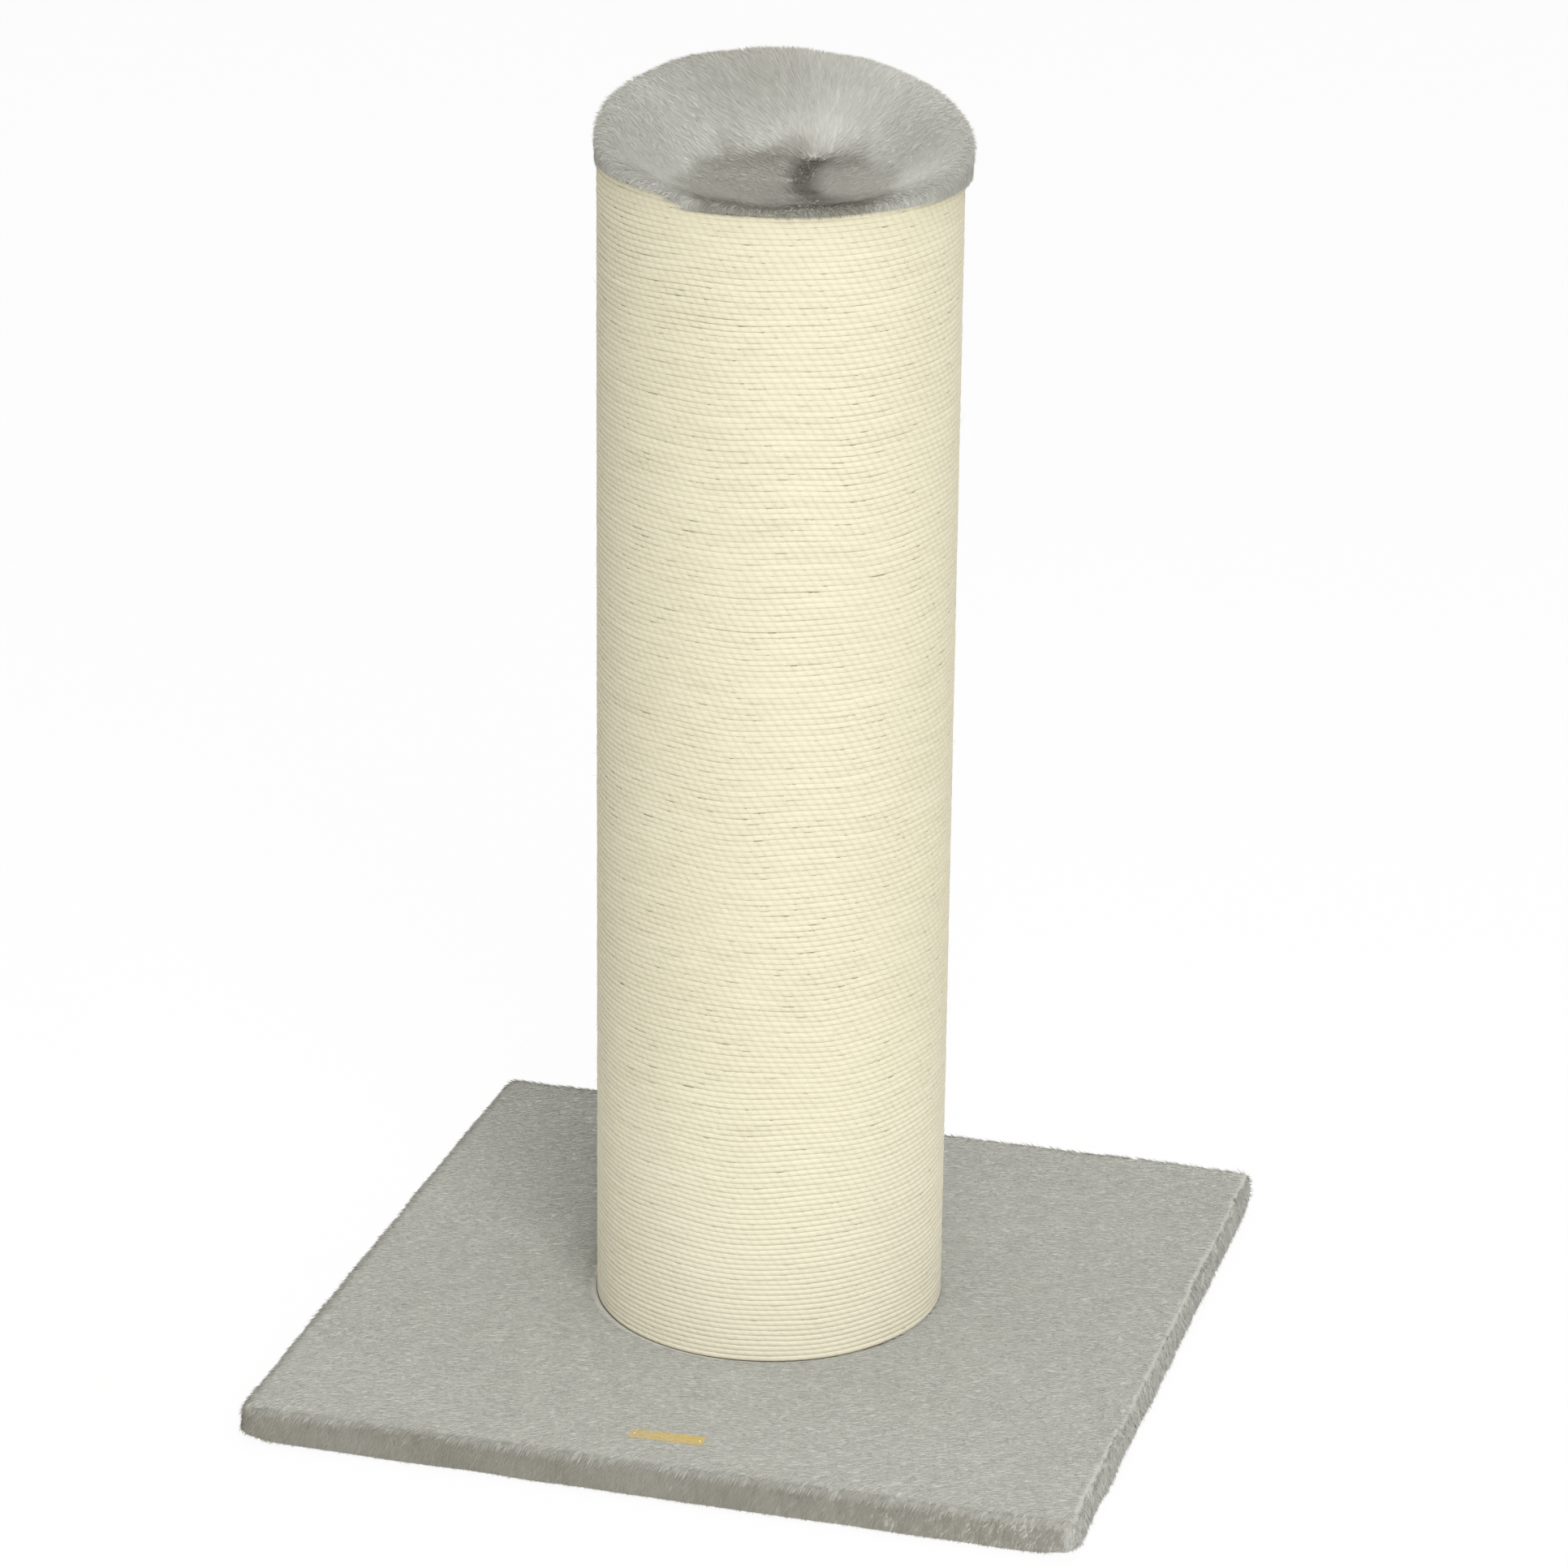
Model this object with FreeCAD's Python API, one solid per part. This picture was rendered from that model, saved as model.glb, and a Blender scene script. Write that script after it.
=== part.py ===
import FreeCAD, Part

import math
import os

# A free-standing scratching post: a thick cardboard tube wound with sisal rope
# stands on a square, plush-covered base board. The tube's top is cut at a slant,
# and a padded bowl lined with the same plush fills it.
# Millimetres. The origin is on the floor under the middle of the base, +Z is up,
# and the base's front edge, with the small name plate near it, faces -Y.

Vector = FreeCAD.Vector
UP = Vector(0, 0, 1)

# ---- Base: board, plush cover and glides ----
base_width = 600.0            # square, over the plush
board_thickness = 18.0
board_corner_radius = 4.0
plush_thickness = 4.5         # backing and pile, standing free
plush_edge_radius = 6.0
pressed_plush = 1.5           # the same plush clamped under the column
hem_thickness = 2.5           # plush turned under the board and stapled
hem_width = 40.0
glide_thickness = 4.0
glide_diameter = 30.0
glide_inset = 85.0            # from the edge of the base to a glide's middle

# ---- Column: tube, plug and rope ----
tube_outer_diameter = 244.0
tube_wall = 8.0
plug_thickness = 18.0
plug_clearance = 0.3
rope_depth = 3.8              # how far the rope stands out from the tube
rope_width = 3.5              # along the column, where it is squeezed between its neighbours
rope_crown_width = 1.6        # along the column, on its outer side
rope_glue_line = 0.2
turn_gap = 0.5
winding_height = 844.0        # from the pressed plush to the rope's top edge
drawn_turns = 6               # drawn turn by turn below the top; a plain sleeve holds the rest
rope_end_azimuth = -109.0
arcs_per_turn = 4             # two arcs in each half turn
points_per_arc = 13           # for measuring the gap between turns
column_nest_gap = 2.0         # free ring between the rope and the pile that stands around it

# ---- Slanted top and bowl ----
slant_azimuth = 110.0         # direction of the high side
rim_rise = 48.0               # high side over low side, across the tube
low_rim_height = 0.0          # the tube's low edge over the winding
rim_plush = 4.0               # plush over the tube's edge
rim_edge_inset = 5.0          # how far the bevel round the rim's outer edge reaches in
rim_edge_steepness = -1.0     # rise over run of that bevel
skirt_thickness = 6.5         # fuller pile on the outside of the rim
skirt_clearance = 0.2
bowl_floor_radius = 64.0
bowl_floor_drop = 7.0         # bowl floor below the top of the winding
bowl_mouth_radius = 111.0
bowl_lower_steepness = 0.3    # rise over run beside the floor
bowl_upper_steepness = 1.6    # rise over run below the rim
lining_thickness = 3.5
foam_thickness = 10.0
foam_clearance = 0.3
bowl_board_thickness = 12.0

# ---- Fixings and name plate ----
bolt_count = 3
bolt_circle_radius = 60.0
bolt_first_azimuth = 90.0
bolt_diameter = 8.0
bolt_length = 35.0
bolt_head_diameter = 17.0
bolt_head_height = 2.5
bolt_socket_width = 5.0       # across the flats
bolt_socket_depth = 1.5
bolt_hole_clearance = 0.5
insert_diameter = 12.0
insert_length = 15.0
insert_clearance = 0.1
thread_clearance = 0.1
plate_length = 53.0
plate_height = 13.0
plate_thickness = 0.8
plate_from_front = 43.5       # from the front edge of the base to the plate's middle
plate_turn = 2.5              # degrees, as it was pinned on by hand

# ---- Places that follow ----
tool_reach = 2 * base_width   # how far a cutting shape reaches past what it cuts
board_width = base_width - 2 * plush_thickness
board_bottom = glide_thickness
board_top = board_bottom + board_thickness
plush_top = board_top + plush_thickness
hem_bottom = board_bottom - hem_thickness
column_bottom = board_top + pressed_plush
tube_outer_radius = tube_outer_diameter / 2
tube_inner_radius = tube_outer_radius - tube_wall
rope_inner_radius = tube_outer_radius + rope_glue_line
winding_radius = rope_inner_radius + rope_depth
winding_pitch = rope_width + turn_gap
winding_top = column_bottom + winding_height
slant = rim_rise / tube_outer_diameter
tube_rim_height = winding_top + low_rim_height + rim_rise / 2
rim_height = tube_rim_height + rim_plush
skirt_radius = tube_outer_radius + skirt_clearance + skirt_thickness
bowl_floor = winding_top - bowl_floor_drop
foam_top = bowl_floor - lining_thickness
foam_bottom = foam_top - foam_thickness
plug_top = column_bottom + plug_thickness
plug_radius = tube_inner_radius - plug_clearance
bolt_hole_radius = bolt_diameter / 2 + bolt_hole_clearance
insert_bottom = plug_top - insert_length


def polar(radius, azimuth, height=0.0):
    """Point at a radius and an azimuth in degrees round the column."""
    angle = math.radians(azimuth)
    return Vector(radius * math.cos(angle), radius * math.sin(angle), height)


def disc(radius, bottom, top):
    """Upright cylinder on the column's axis between two heights."""
    return Part.makeCylinder(radius, top - bottom, UP * bottom)


def ring(outer_radius, inner_radius, bottom, top):
    """Upright tube between two heights."""
    return disc(outer_radius, bottom, top).cut(disc(inner_radius, bottom, top))


def round_edges(shape, radius, wanted):
    """Fillets the edges for which wanted(lower height, upper height) holds."""
    edges = [edge for edge in shape.Edges if wanted(edge.BoundBox.ZMin, edge.BoundBox.ZMax)]
    return shape.makeFillet(radius, edges)


def slab(width, bottom, top, corner_radius):
    """Square slab on the axis with rounded upright corners."""
    block = Part.makeBox(width, width, top - bottom, Vector(-width / 2, -width / 2, bottom))
    middle = (bottom + top) / 2
    return round_edges(block, corner_radius, lambda low, high: low < middle < high)


# ---- Fixings ----
def on_bolts(piece):
    """One copy of a piece on each bolt axis."""
    azimuths = [bolt_first_azimuth + index * 360 / bolt_count for index in range(bolt_count)]
    return Part.Compound([piece.translated(polar(bolt_circle_radius, azimuth)) for azimuth in azimuths])


def column_bolt():
    """Flat-headed furniture bolt standing head down, with a hexagon socket in its head."""
    head_bottom = board_bottom - bolt_head_height
    bolt = disc(bolt_head_diameter / 2, head_bottom, board_bottom)
    bolt = bolt.fuse(disc(bolt_diameter / 2, board_bottom, board_bottom + bolt_length))
    socket_radius = bolt_socket_width / math.sqrt(3)
    corners = [polar(socket_radius, 60 * index, head_bottom) for index in range(6)]
    return bolt.cut(Part.Face(Part.makePolygon(corners + corners[:1])).extrude(UP * bolt_socket_depth))


def threaded_insert():
    """Threaded insert let into the plug from above."""
    return ring(insert_diameter / 2, bolt_diameter / 2 + thread_clearance, insert_bottom, plug_top)


# ---- Base ----
def base_board():
    """Chipboard panel with a hole for each bolt."""
    board = slab(board_width, board_bottom, board_top, board_corner_radius)
    return board.cut(on_bolts(disc(bolt_hole_radius, board_bottom, board_top)))


def base_plush():
    """Plush over the board's top and sides, turned under as a hem, pressed flat under the column."""
    cover = slab(base_width, hem_bottom, plush_top, board_corner_radius + plush_thickness)
    cover = round_edges(cover, plush_edge_radius, lambda low, high: low > board_top)
    cover = cover.cut(slab(board_width, board_bottom, board_top, board_corner_radius))
    window_width = board_width - 2 * hem_width
    window_corner = Vector(-window_width / 2, -window_width / 2, hem_bottom)
    cover = cover.cut(Part.makeBox(window_width, window_width, hem_thickness, window_corner))
    cover = cover.cut(disc(winding_radius + column_nest_gap, column_bottom, plush_top))
    return cover.cut(on_bolts(disc(bolt_hole_radius, board_top, column_bottom)))


def felt_glides():
    """Round felt glides under the board's corners, inside the hem."""
    reach = base_width / 2 - glide_inset
    glide = disc(glide_diameter / 2, 0, glide_thickness)
    return Part.Compound([glide.translated(Vector(side_x * reach, side_y * reach, 0))
                          for side_x in (-1, 1) for side_y in (-1, 1)])


def name_plate():
    """Bare brass plate that lies on the plush near the front edge, turned a little."""
    corner = Vector(-plate_length / 2, -plate_height / 2, 0)
    plate = Part.makeBox(plate_length, plate_height, plate_thickness, corner)
    place = Vector(0, plate_from_front - base_width / 2, plush_top)
    return plate.transformed(FreeCAD.Placement(place, FreeCAD.Rotation(UP, plate_turn)).Matrix)


# ---- Column ----
def above_slant(axis_height):
    """Everything above the slanted plane that crosses the column's axis at a height."""
    block = Part.makeBox(tool_reach, tool_reach, tool_reach, Vector(-tool_reach / 2, -tool_reach / 2, 0))
    hinge = polar(1, slant_azimuth - 90)
    block.rotate(Vector(0, 0, 0), hinge, math.degrees(math.atan(slant)))
    return block.translated(UP * axis_height)


def slanted_cylinder(radius, bottom, axis_height):
    """Upright cylinder whose top is the slanted plane."""
    top = axis_height + slant * radius
    return disc(radius, bottom, top + radius).cut(above_slant(axis_height))


def column_tube():
    """Cardboard tube, square at the foot and cut at a slant on top."""
    tube = slanted_cylinder(tube_outer_radius, column_bottom, tube_rim_height)
    return tube.cut(disc(tube_inner_radius, column_bottom, tube_rim_height + rim_rise))


def bottom_plug():
    """Board disc that closes the tube's foot and holds the threaded inserts."""
    plug = disc(plug_radius, column_bottom, plug_top)
    plug = plug.cut(on_bolts(disc(bolt_hole_radius, column_bottom, insert_bottom)))
    return plug.cut(on_bolts(disc(insert_diameter / 2 + insert_clearance, insert_bottom, plug_top)))


# ---- Rope ----
def tangent_arc(start, direction, end):
    """Arc from start to end that leaves start along a unit direction."""
    chord = end - start
    side = chord - direction * chord.dot(direction)
    side.normalize()
    half = math.acos(min(1, chord.dot(direction) / chord.Length)) / 2
    reach = chord.Length / (2 * math.cos(half))
    middle = start + (direction * math.cos(half) + side * math.sin(half)) * reach
    return Part.Arc(start, middle, end).toShape()


def biarc(start, start_direction, end, end_direction):
    """Two arcs that meet in one tangent and join two points with given directions."""
    chord = end - start
    total = start_direction + end_direction
    spread = 2 * (1 - start_direction.dot(end_direction))
    along = chord.dot(total)
    handle = (math.sqrt(along ** 2 + spread * chord.dot(chord)) - along) / spread
    meeting = (start + end + (start_direction - end_direction) * handle) / 2
    first = tangent_arc(start, start_direction, meeting)
    return [first, tangent_arc(meeting, first.tangentAt(first.LastParameter), end)]


def winding_path(radius, turns, top):
    """Centre line of the upper turns: a helix in biarcs of half a turn, with short straight ends."""
    bottom = top - turns * winding_pitch
    rise_per_radian = winding_pitch / (2 * math.pi)

    def place(half_turn):
        return polar(radius, rope_end_azimuth + 180 * half_turn, bottom + winding_pitch * half_turn / 2)

    def direction(half_turn):
        along = polar(radius, rope_end_azimuth + 180 * half_turn + 90, rise_per_radian)
        return along.normalize()

    last = turns * arcs_per_turn // 2
    edges = [edge for step in range(last)
             for edge in biarc(place(step), direction(step), place(step + 1), direction(step + 1))]
    lead_in = Part.LineSegment(place(0) - direction(0) * rope_depth, place(0)).toShape()
    lead_out = Part.LineSegment(place(last), place(last) + direction(last) * rope_depth).toShape()
    return Part.Wire([lead_in] + edges + [lead_out])


def rope_section(start, direction):
    """Four-sided rope section square to the path: full where it is glued to the tube, narrower outside."""
    upright = UP - direction * direction.z
    upright.normalize()
    outward = direction.cross(upright)
    half_depth = rope_depth / 2
    inner_half = rope_width / 2
    outer_half = rope_crown_width / 2
    outline = [(-half_depth, -inner_half), (half_depth, -outer_half),
               (half_depth, outer_half), (-half_depth, inner_half)]
    points = [start + outward * across + upright * along for across, along in outline]
    return Part.makePolygon(points + points[:1])


def least_gap(path):
    """Least clear distance between one turn and any other, measured on points of the winding's arcs."""
    arcs = path.Edges[1:-1]
    points = [point for arc in arcs for point in arc.discretize(Number=points_per_arc)[:-1]]
    half_turn = arcs_per_turn * (points_per_arc - 1) // 2
    nearest = min(point.distanceToPoint(other)
                  for index, point in enumerate(points)
                  for other in points[index + half_turn:])
    return nearest - rope_width


def sisal_rope():
    """Wound rope: the uppermost turns one by one, and a plain sleeve for the turns below them."""
    path_radius = rope_inner_radius + rope_depth / 2
    path = winding_path(path_radius, drawn_turns, winding_top - rope_width / 2)
    first = path.Edges[0]
    section = rope_section(first.Vertexes[0].Point, first.tangentAt(first.FirstParameter))
    turns = path.makePipeShell([section], True, False)
    sleeve_top = winding_top - (drawn_turns + 1) * winding_pitch
    sleeve = ring(winding_radius, rope_inner_radius, column_bottom, sleeve_top)
    expected = Part.Face(section).Area * path.Length
    print("rope: turns", drawn_turns, "length", round(path.Length), "least gap", round(least_gap(path), 3))
    print("rope: volume", round(turns.Volume), "section by length", round(expected))
    return Part.Compound([turns, sleeve])


# ---- Bowl ----
def cone_towards(direction, centre, radius, steepness, below, above):
    """Cone that has a radius at its centre and opens along a direction at a rise over run."""
    bottom_radius = radius - below / steepness
    top_radius = radius + above / steepness
    return Part.makeCone(bottom_radius, top_radius, below + above, centre - direction * below, direction)


def slant_normal():
    """Direction square to the rim's slanted plane."""
    return FreeCAD.Rotation(polar(1, slant_azimuth - 90), math.degrees(math.atan(slant))).multVec(UP)


def bowl_hollow(floor, floor_radius, mouth_radius, mouth_height):
    """Solid of a bowl's hollow: a flat cone that rises from the level floor, inside a steep slanted one."""
    depth = mouth_height - floor
    lower = cone_towards(UP, UP * floor, floor_radius, bowl_lower_steepness, 0, depth + rim_rise)
    upper = cone_towards(slant_normal(), UP * mouth_height, mouth_radius, bowl_upper_steepness,
                         depth + rim_rise, rim_rise)
    return lower.common(upper)


def bowl_board():
    """Board disc that carries the bowl inside the tube."""
    return disc(plug_radius, foam_bottom - bowl_board_thickness, foam_bottom)


def bowl_foam():
    """Foam that fills the tube's slanted end and is hollowed to the bowl's shape."""
    foam = slanted_cylinder(tube_inner_radius - foam_clearance, foam_bottom, tube_rim_height)
    mouth_radius = bowl_mouth_radius + lining_thickness
    return foam.cut(bowl_hollow(foam_top, bowl_floor_radius, mouth_radius, tube_rim_height))


def bowl_plush():
    """Plush lining of the bowl, carried over the rim and down the outside to the rope."""
    cover = slanted_cylinder(skirt_radius, foam_bottom, rim_height)
    bevel_radius = skirt_radius - rim_edge_inset
    bevel = cone_towards(slant_normal(), UP * rim_height, bevel_radius, rim_edge_steepness, tool_reach, 0)
    cover = cover.common(bevel)
    lining_radius = tube_inner_radius - foam_clearance
    below = disc(tool_reach, foam_bottom, winding_top)
    cover = cover.cut(below.cut(disc(lining_radius, foam_bottom, winding_top)))
    cover = cover.cut(bowl_hollow(bowl_floor, bowl_floor_radius, bowl_mouth_radius, rim_height))
    tube_space = slanted_cylinder(tube_outer_radius + skirt_clearance, foam_bottom, tube_rim_height)
    cover = cover.cut(tube_space.cut(disc(lining_radius, foam_bottom, tube_rim_height + rim_rise)))
    return cover.cut(bowl_foam())


def main():
    pieces = {
        "base_board": base_board(),
        "base_plush": base_plush(),
        "felt_glides": felt_glides(),
        "name_plate": name_plate(),
        "column_bolts": on_bolts(column_bolt()),
        "threaded_inserts": on_bolts(threaded_insert()),
        "bottom_plug": bottom_plug(),
        "column_tube": column_tube(),
        "sisal_rope": sisal_rope(),
        "bowl_board": bowl_board(),
        "bowl_foam": bowl_foam(),
        "bowl_plush": bowl_plush(),
    }
    os.makedirs("parts", exist_ok=True)
    for name, shape in pieces.items():
        print(name, "solids", len(shape.Solids), "valid", shape.isValid(), "volume", round(shape.Volume))
        shape.exportStep(f"parts/{name}.step")


if __name__ == "__main__":
    main()
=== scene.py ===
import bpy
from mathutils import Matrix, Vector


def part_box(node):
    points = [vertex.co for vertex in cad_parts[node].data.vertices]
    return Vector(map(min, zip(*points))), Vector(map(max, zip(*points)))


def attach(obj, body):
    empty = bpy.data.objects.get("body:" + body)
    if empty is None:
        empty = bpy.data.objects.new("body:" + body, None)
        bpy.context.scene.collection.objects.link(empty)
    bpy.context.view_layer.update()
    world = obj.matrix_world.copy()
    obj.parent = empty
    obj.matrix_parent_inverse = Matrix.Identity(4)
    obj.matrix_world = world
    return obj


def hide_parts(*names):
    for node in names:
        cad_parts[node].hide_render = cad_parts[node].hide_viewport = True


bl_info = {
    "name": "Sisal Scratching Post",
    "version": (1, 0, 0),
    "blender": (4, 5, 0),
    "location": "View3D > Sidebar > Scratching Post",
    "description": "Dresses a packed scratching post in wound sisal rope and combed plush",
    "category": "Add Mesh",
}

import math

import bpy
import numpy as np
from mathutils import Matrix, Vector

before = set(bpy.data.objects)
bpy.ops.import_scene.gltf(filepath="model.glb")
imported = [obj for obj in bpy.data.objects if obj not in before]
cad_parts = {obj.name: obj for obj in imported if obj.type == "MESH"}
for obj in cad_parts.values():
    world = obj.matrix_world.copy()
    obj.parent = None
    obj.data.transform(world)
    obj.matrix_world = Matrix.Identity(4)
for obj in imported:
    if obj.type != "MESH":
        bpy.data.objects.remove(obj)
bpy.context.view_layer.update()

MM = 0.001
BODY = "root"
UP = np.array([0.0, 0.0, 1.0])

# Azimuths: where the plush rim and the tube's rim are highest, what is right in the photograph, and the run of
# the plate.
RIM_AZIMUTH = math.radians(109.5)
SLANT_AZIMUTH = math.radians(110.0)
RIGHT_AZIMUTH = math.radians(15.7)
PLATE_TURN = math.radians(2.5)

# Corners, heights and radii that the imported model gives, in metres.
ROPE_LOW, ROPE_HIGH = np.array(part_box("sisal_rope"))
COVER_LOW, COVER_HIGH = np.array(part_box("base_plush"))
BOARD_LOW, BOARD_HIGH = np.array(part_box("base_board"))
PLATE_LOW, PLATE_HIGH = np.array(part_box("name_plate"))
FOAM_LOW, FOAM_HIGH = np.array(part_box("bowl_foam"))
TUBE_HIGH = np.array(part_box("column_tube"))[1]
COLUMN_RADIUS = float(ROPE_HIGH[0])
TUBE_RADIUS = float(TUBE_HIGH[0])
FOAM_RADIUS = float(FOAM_HIGH[0])
COVER_TOP = float(COVER_HIGH[2])
ROPE_END = ROPE_HIGH[2] + 1.9 * MM
RIM_MIDDLE = 891.5 * MM
BOWL_FLOOR = float(ROPE_HIGH[2]) - 7 * MM

# Sizes that several pieces share.
ROOT_DEPTH = 0.3 * MM
SHORTEST_HAIR = 1.5 * MM
PLUSH_PATCHES = 90 * MM
HEM = 40 * MM
OUTER_SIDE = 4.5 / 8


# ---- Settings ----
class RopeSettings(bpy.types.PropertyGroup):
    """Wound rope of the column."""

    thickness: bpy.props.FloatProperty(
        name="Thickness", description="Thickness of the rope", default=4.0 * MM, unit="LENGTH")
    turns: bpy.props.IntProperty(
        name="Turns", description="Whole turns from foot to top", default=211, min=4)
    steps_per_turn: bpy.props.IntProperty(
        name="Steps", description="Mesh steps in one turn", default=96, min=24)
    start_azimuth: bpy.props.FloatProperty(
        name="Start", description="Where round the column the lower end lies",
        default=math.radians(100.0), subtype="ANGLE")
    end_azimuth: bpy.props.FloatProperty(
        name="End", description="Where round the column the upper end lies",
        default=math.radians(-99.0), subtype="ANGLE")
    loose_fibres: bpy.props.IntProperty(
        name="Loose Fibres", description="Fibres that stand off the rope", default=1800, min=0)
    colour: bpy.props.FloatVectorProperty(
        name="Colour", description="Pale sisal", default=(0.755, 0.712, 0.54), subtype="COLOR", size=3)
    dark_colour: bpy.props.FloatVectorProperty(
        name="Dark Colour", description="Darker sisal strands", default=(0.60, 0.55, 0.375),
        subtype="COLOR", size=3)


class PlushSettings(bpy.types.PropertyGroup):
    """Plush of the base and the bowl."""

    pile_length: bpy.props.FloatProperty(
        name="Pile", description="Length of a hair", default=7.5 * MM, unit="LENGTH")
    hair_width: bpy.props.FloatProperty(
        name="Hair Width", description="Width of a lock of hair at its root", default=0.75 * MM, unit="LENGTH")
    base_hairs: bpy.props.IntProperty(
        name="Base Hairs", description="Locks of hair on the base's top", default=200000, min=0)
    side_hairs: bpy.props.IntProperty(
        name="Side Hairs", description="Locks of hair on the base's sides", default=40000, min=0)
    bowl_hairs: bpy.props.IntProperty(
        name="Bowl Hairs", description="Locks of hair in and around the bowl", default=80000, min=0)
    comb_azimuth: bpy.props.FloatProperty(
        name="Comb", description="Direction in which the base's pile lies", default=math.radians(229.0),
        subtype="ANGLE")
    colour: bpy.props.FloatVectorProperty(
        name="Colour", description="Pile seen from its side", default=(0.62, 0.624, 0.58),
        subtype="COLOR", size=3)
    # Painted shade colour: the pile's colour where the shade value paints it darker.
    painted_shade_colour: bpy.props.FloatVectorProperty(
        name="Deep Colour", description="Pile seen against its lie", default=(0.29, 0.275, 0.225),
        subtype="COLOR", size=3)


class StageSettings(bpy.types.PropertyGroup):
    """Floor, lamps and camera."""

    floor_colour: bpy.props.FloatVectorProperty(
        name="Floor", description="Floor colour", default=(0.9, 0.9, 0.9), subtype="COLOR", size=3)
    sky: bpy.props.FloatProperty(
        name="Sky", description="Strength of the even light from all round", default=0.45, min=0.0)
    key: bpy.props.FloatProperty(
        name="Key", description="Power of the large lamp", default=262.0, subtype="POWER")
    fill: bpy.props.FloatProperty(
        name="Fill", description="Power of the small lamp low in front", default=1.7, subtype="POWER")
    top: bpy.props.FloatProperty(
        name="Top", description="Power of the lamp overhead", default=45.0, subtype="POWER")
    lens: bpy.props.FloatProperty(
        name="Lens", description="Focal length of the camera", default=130.79, unit="CAMERA")


# ---- Arrays ----
def unit(vectors):
    """Each vector divided by its length."""
    return vectors / np.maximum(np.linalg.norm(vectors, axis=-1, keepdims=True), 1e-12)


def direction(azimuth):
    """Level unit vectors at azimuths in radians: cosine and sine."""
    azimuth = np.asarray(azimuth, float)
    return unit(np.stack([np.cos(azimuth), np.sin(azimuth), np.zeros_like(azimuth)], axis=-1))


def around_axis(azimuth, radius, height):
    """Places at azimuths, radii and heights round the column's axis."""
    return direction(azimuth) * np.asarray(radius)[..., None] + UP * np.asarray(height)[..., None]


def laid_on(normal, lie):
    """The part of a direction that lies in the surface: the direction less its share along the normal."""
    return unit(lie - normal * (lie * normal).sum(-1, keepdims=True))


def joined(grid):
    """The grid with its first column once more at the end."""
    return np.concatenate([grid, grid[:, :1]], axis=1)


def ease(value, low, high):
    """Smooth step: 3t^2 - 2t^3 of the value's share of the way from low to high."""
    share = np.clip((np.asarray(value, float) - low) / (high - low), 0, 1)
    return share * share * (3 - 2 * share)


def wander(places, spacing, seed):
    """Smooth random line: random knots from -1 to 1 at a spacing, joined by half cosines."""
    rng = np.random.default_rng(seed)
    at = np.asarray(places, float) / spacing
    first = math.floor(at.min())
    knots = rng.uniform(-1, 1, math.ceil(at.max()) - first + 2)
    index = np.floor(at).astype(int) - first
    blend = (1 - np.cos(np.pi * (at - np.floor(at)))) / 2
    return knots[index] * (1 - blend) + knots[index + 1] * blend


def waves(x, y, size, seed, count=7):
    """Smooth random field: the mean of sine waves of random directions and phases, about one size long."""
    rng = np.random.default_rng(seed)
    heading = rng.uniform(0, 2 * np.pi, count)
    number = 2 * np.pi / size * rng.uniform(0.6, 1.6, count)
    phase = rng.uniform(0, 2 * np.pi, count)
    total = sum(np.sin(k * (np.cos(h) * x + np.sin(h) * y) + p) for h, k, p in zip(heading, number, phase))
    return total / math.sqrt(count / 2)


def tufts(across, along, seed):
    """Random value from 0 to 1 for each tuft: a table read at the whole parts of two places, each column
    shifted."""
    table = np.random.default_rng(seed).uniform(0, 1, (509, 257))
    column = np.floor(across).astype(int)
    return table[column % 509, np.floor(along + column * 0.618).astype(int) % 257]


def round_off(points, rounds):
    """Cuts each corner of a line of points at a quarter and three quarters, several times: a quadratic
    B-spline."""
    for _ in range(rounds):
        before, after = points[:-1], points[1:]
        cut = np.stack([0.75 * before + 0.25 * after, 0.25 * before + 0.75 * after], axis=1)
        cut = cut.reshape((-1,) + points.shape[1:])
        points = np.concatenate([points[:1], cut[1:-1], points[-1:]])
    return points


def grid_quads(rows, columns):
    """Quads of a grid whose last column joins the first, turned so that rows run out and columns
    anticlockwise."""
    row = np.arange(rows - 1)[:, None]
    column = np.arange(columns)[None, :]
    after = (column + 1) % columns
    return np.stack([row * columns + column, (row + 1) * columns + column,
                     (row + 1) * columns + after, row * columns + after], axis=-1).reshape(-1, 4)


def closed_grid(rows, first=None):
    """Points, quads and end fans of rows round the axis, closed at both ends by a point on the axis: at the
    first row's height, or a height given, and at the last row's."""
    count, columns = rows.shape[:2]
    first = rows[0, 0, 2] if first is None else first
    points = np.concatenate([rows.reshape(-1, 3), [[0, 0, first], [0, 0, rows[-1, 0, 2]]]])
    column = np.arange(columns)
    after = (column + 1) % columns
    last, pole = (count - 1) * columns, count * columns
    opening = np.stack([np.full(columns, pole), column, after], axis=-1)
    closing = np.stack([last + column, np.full(columns, pole + 1), last + after], axis=-1)
    return points, grid_quads(count, columns), np.concatenate([opening, closing])


def outline_of(line, columns):
    """Pairs of a radius and a height, each one number or one for every column, as rows of an array."""
    return np.stack([np.stack([np.broadcast_to(part, columns) for part in pair], axis=-1) for pair in line])


def turned(outline, azimuth):
    """Rows of places from an outline's radii and heights at each azimuth."""
    return around_axis(azimuth, outline[..., 0], outline[..., 1])


def repeated(faces, copies, size):
    """Lists of faces of one small shape, repeated for each copy of its points."""
    offset = np.arange(copies)[:, None, None] * size
    return [(part + offset).reshape(-1, part.shape[1]) for part in faces]


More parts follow.
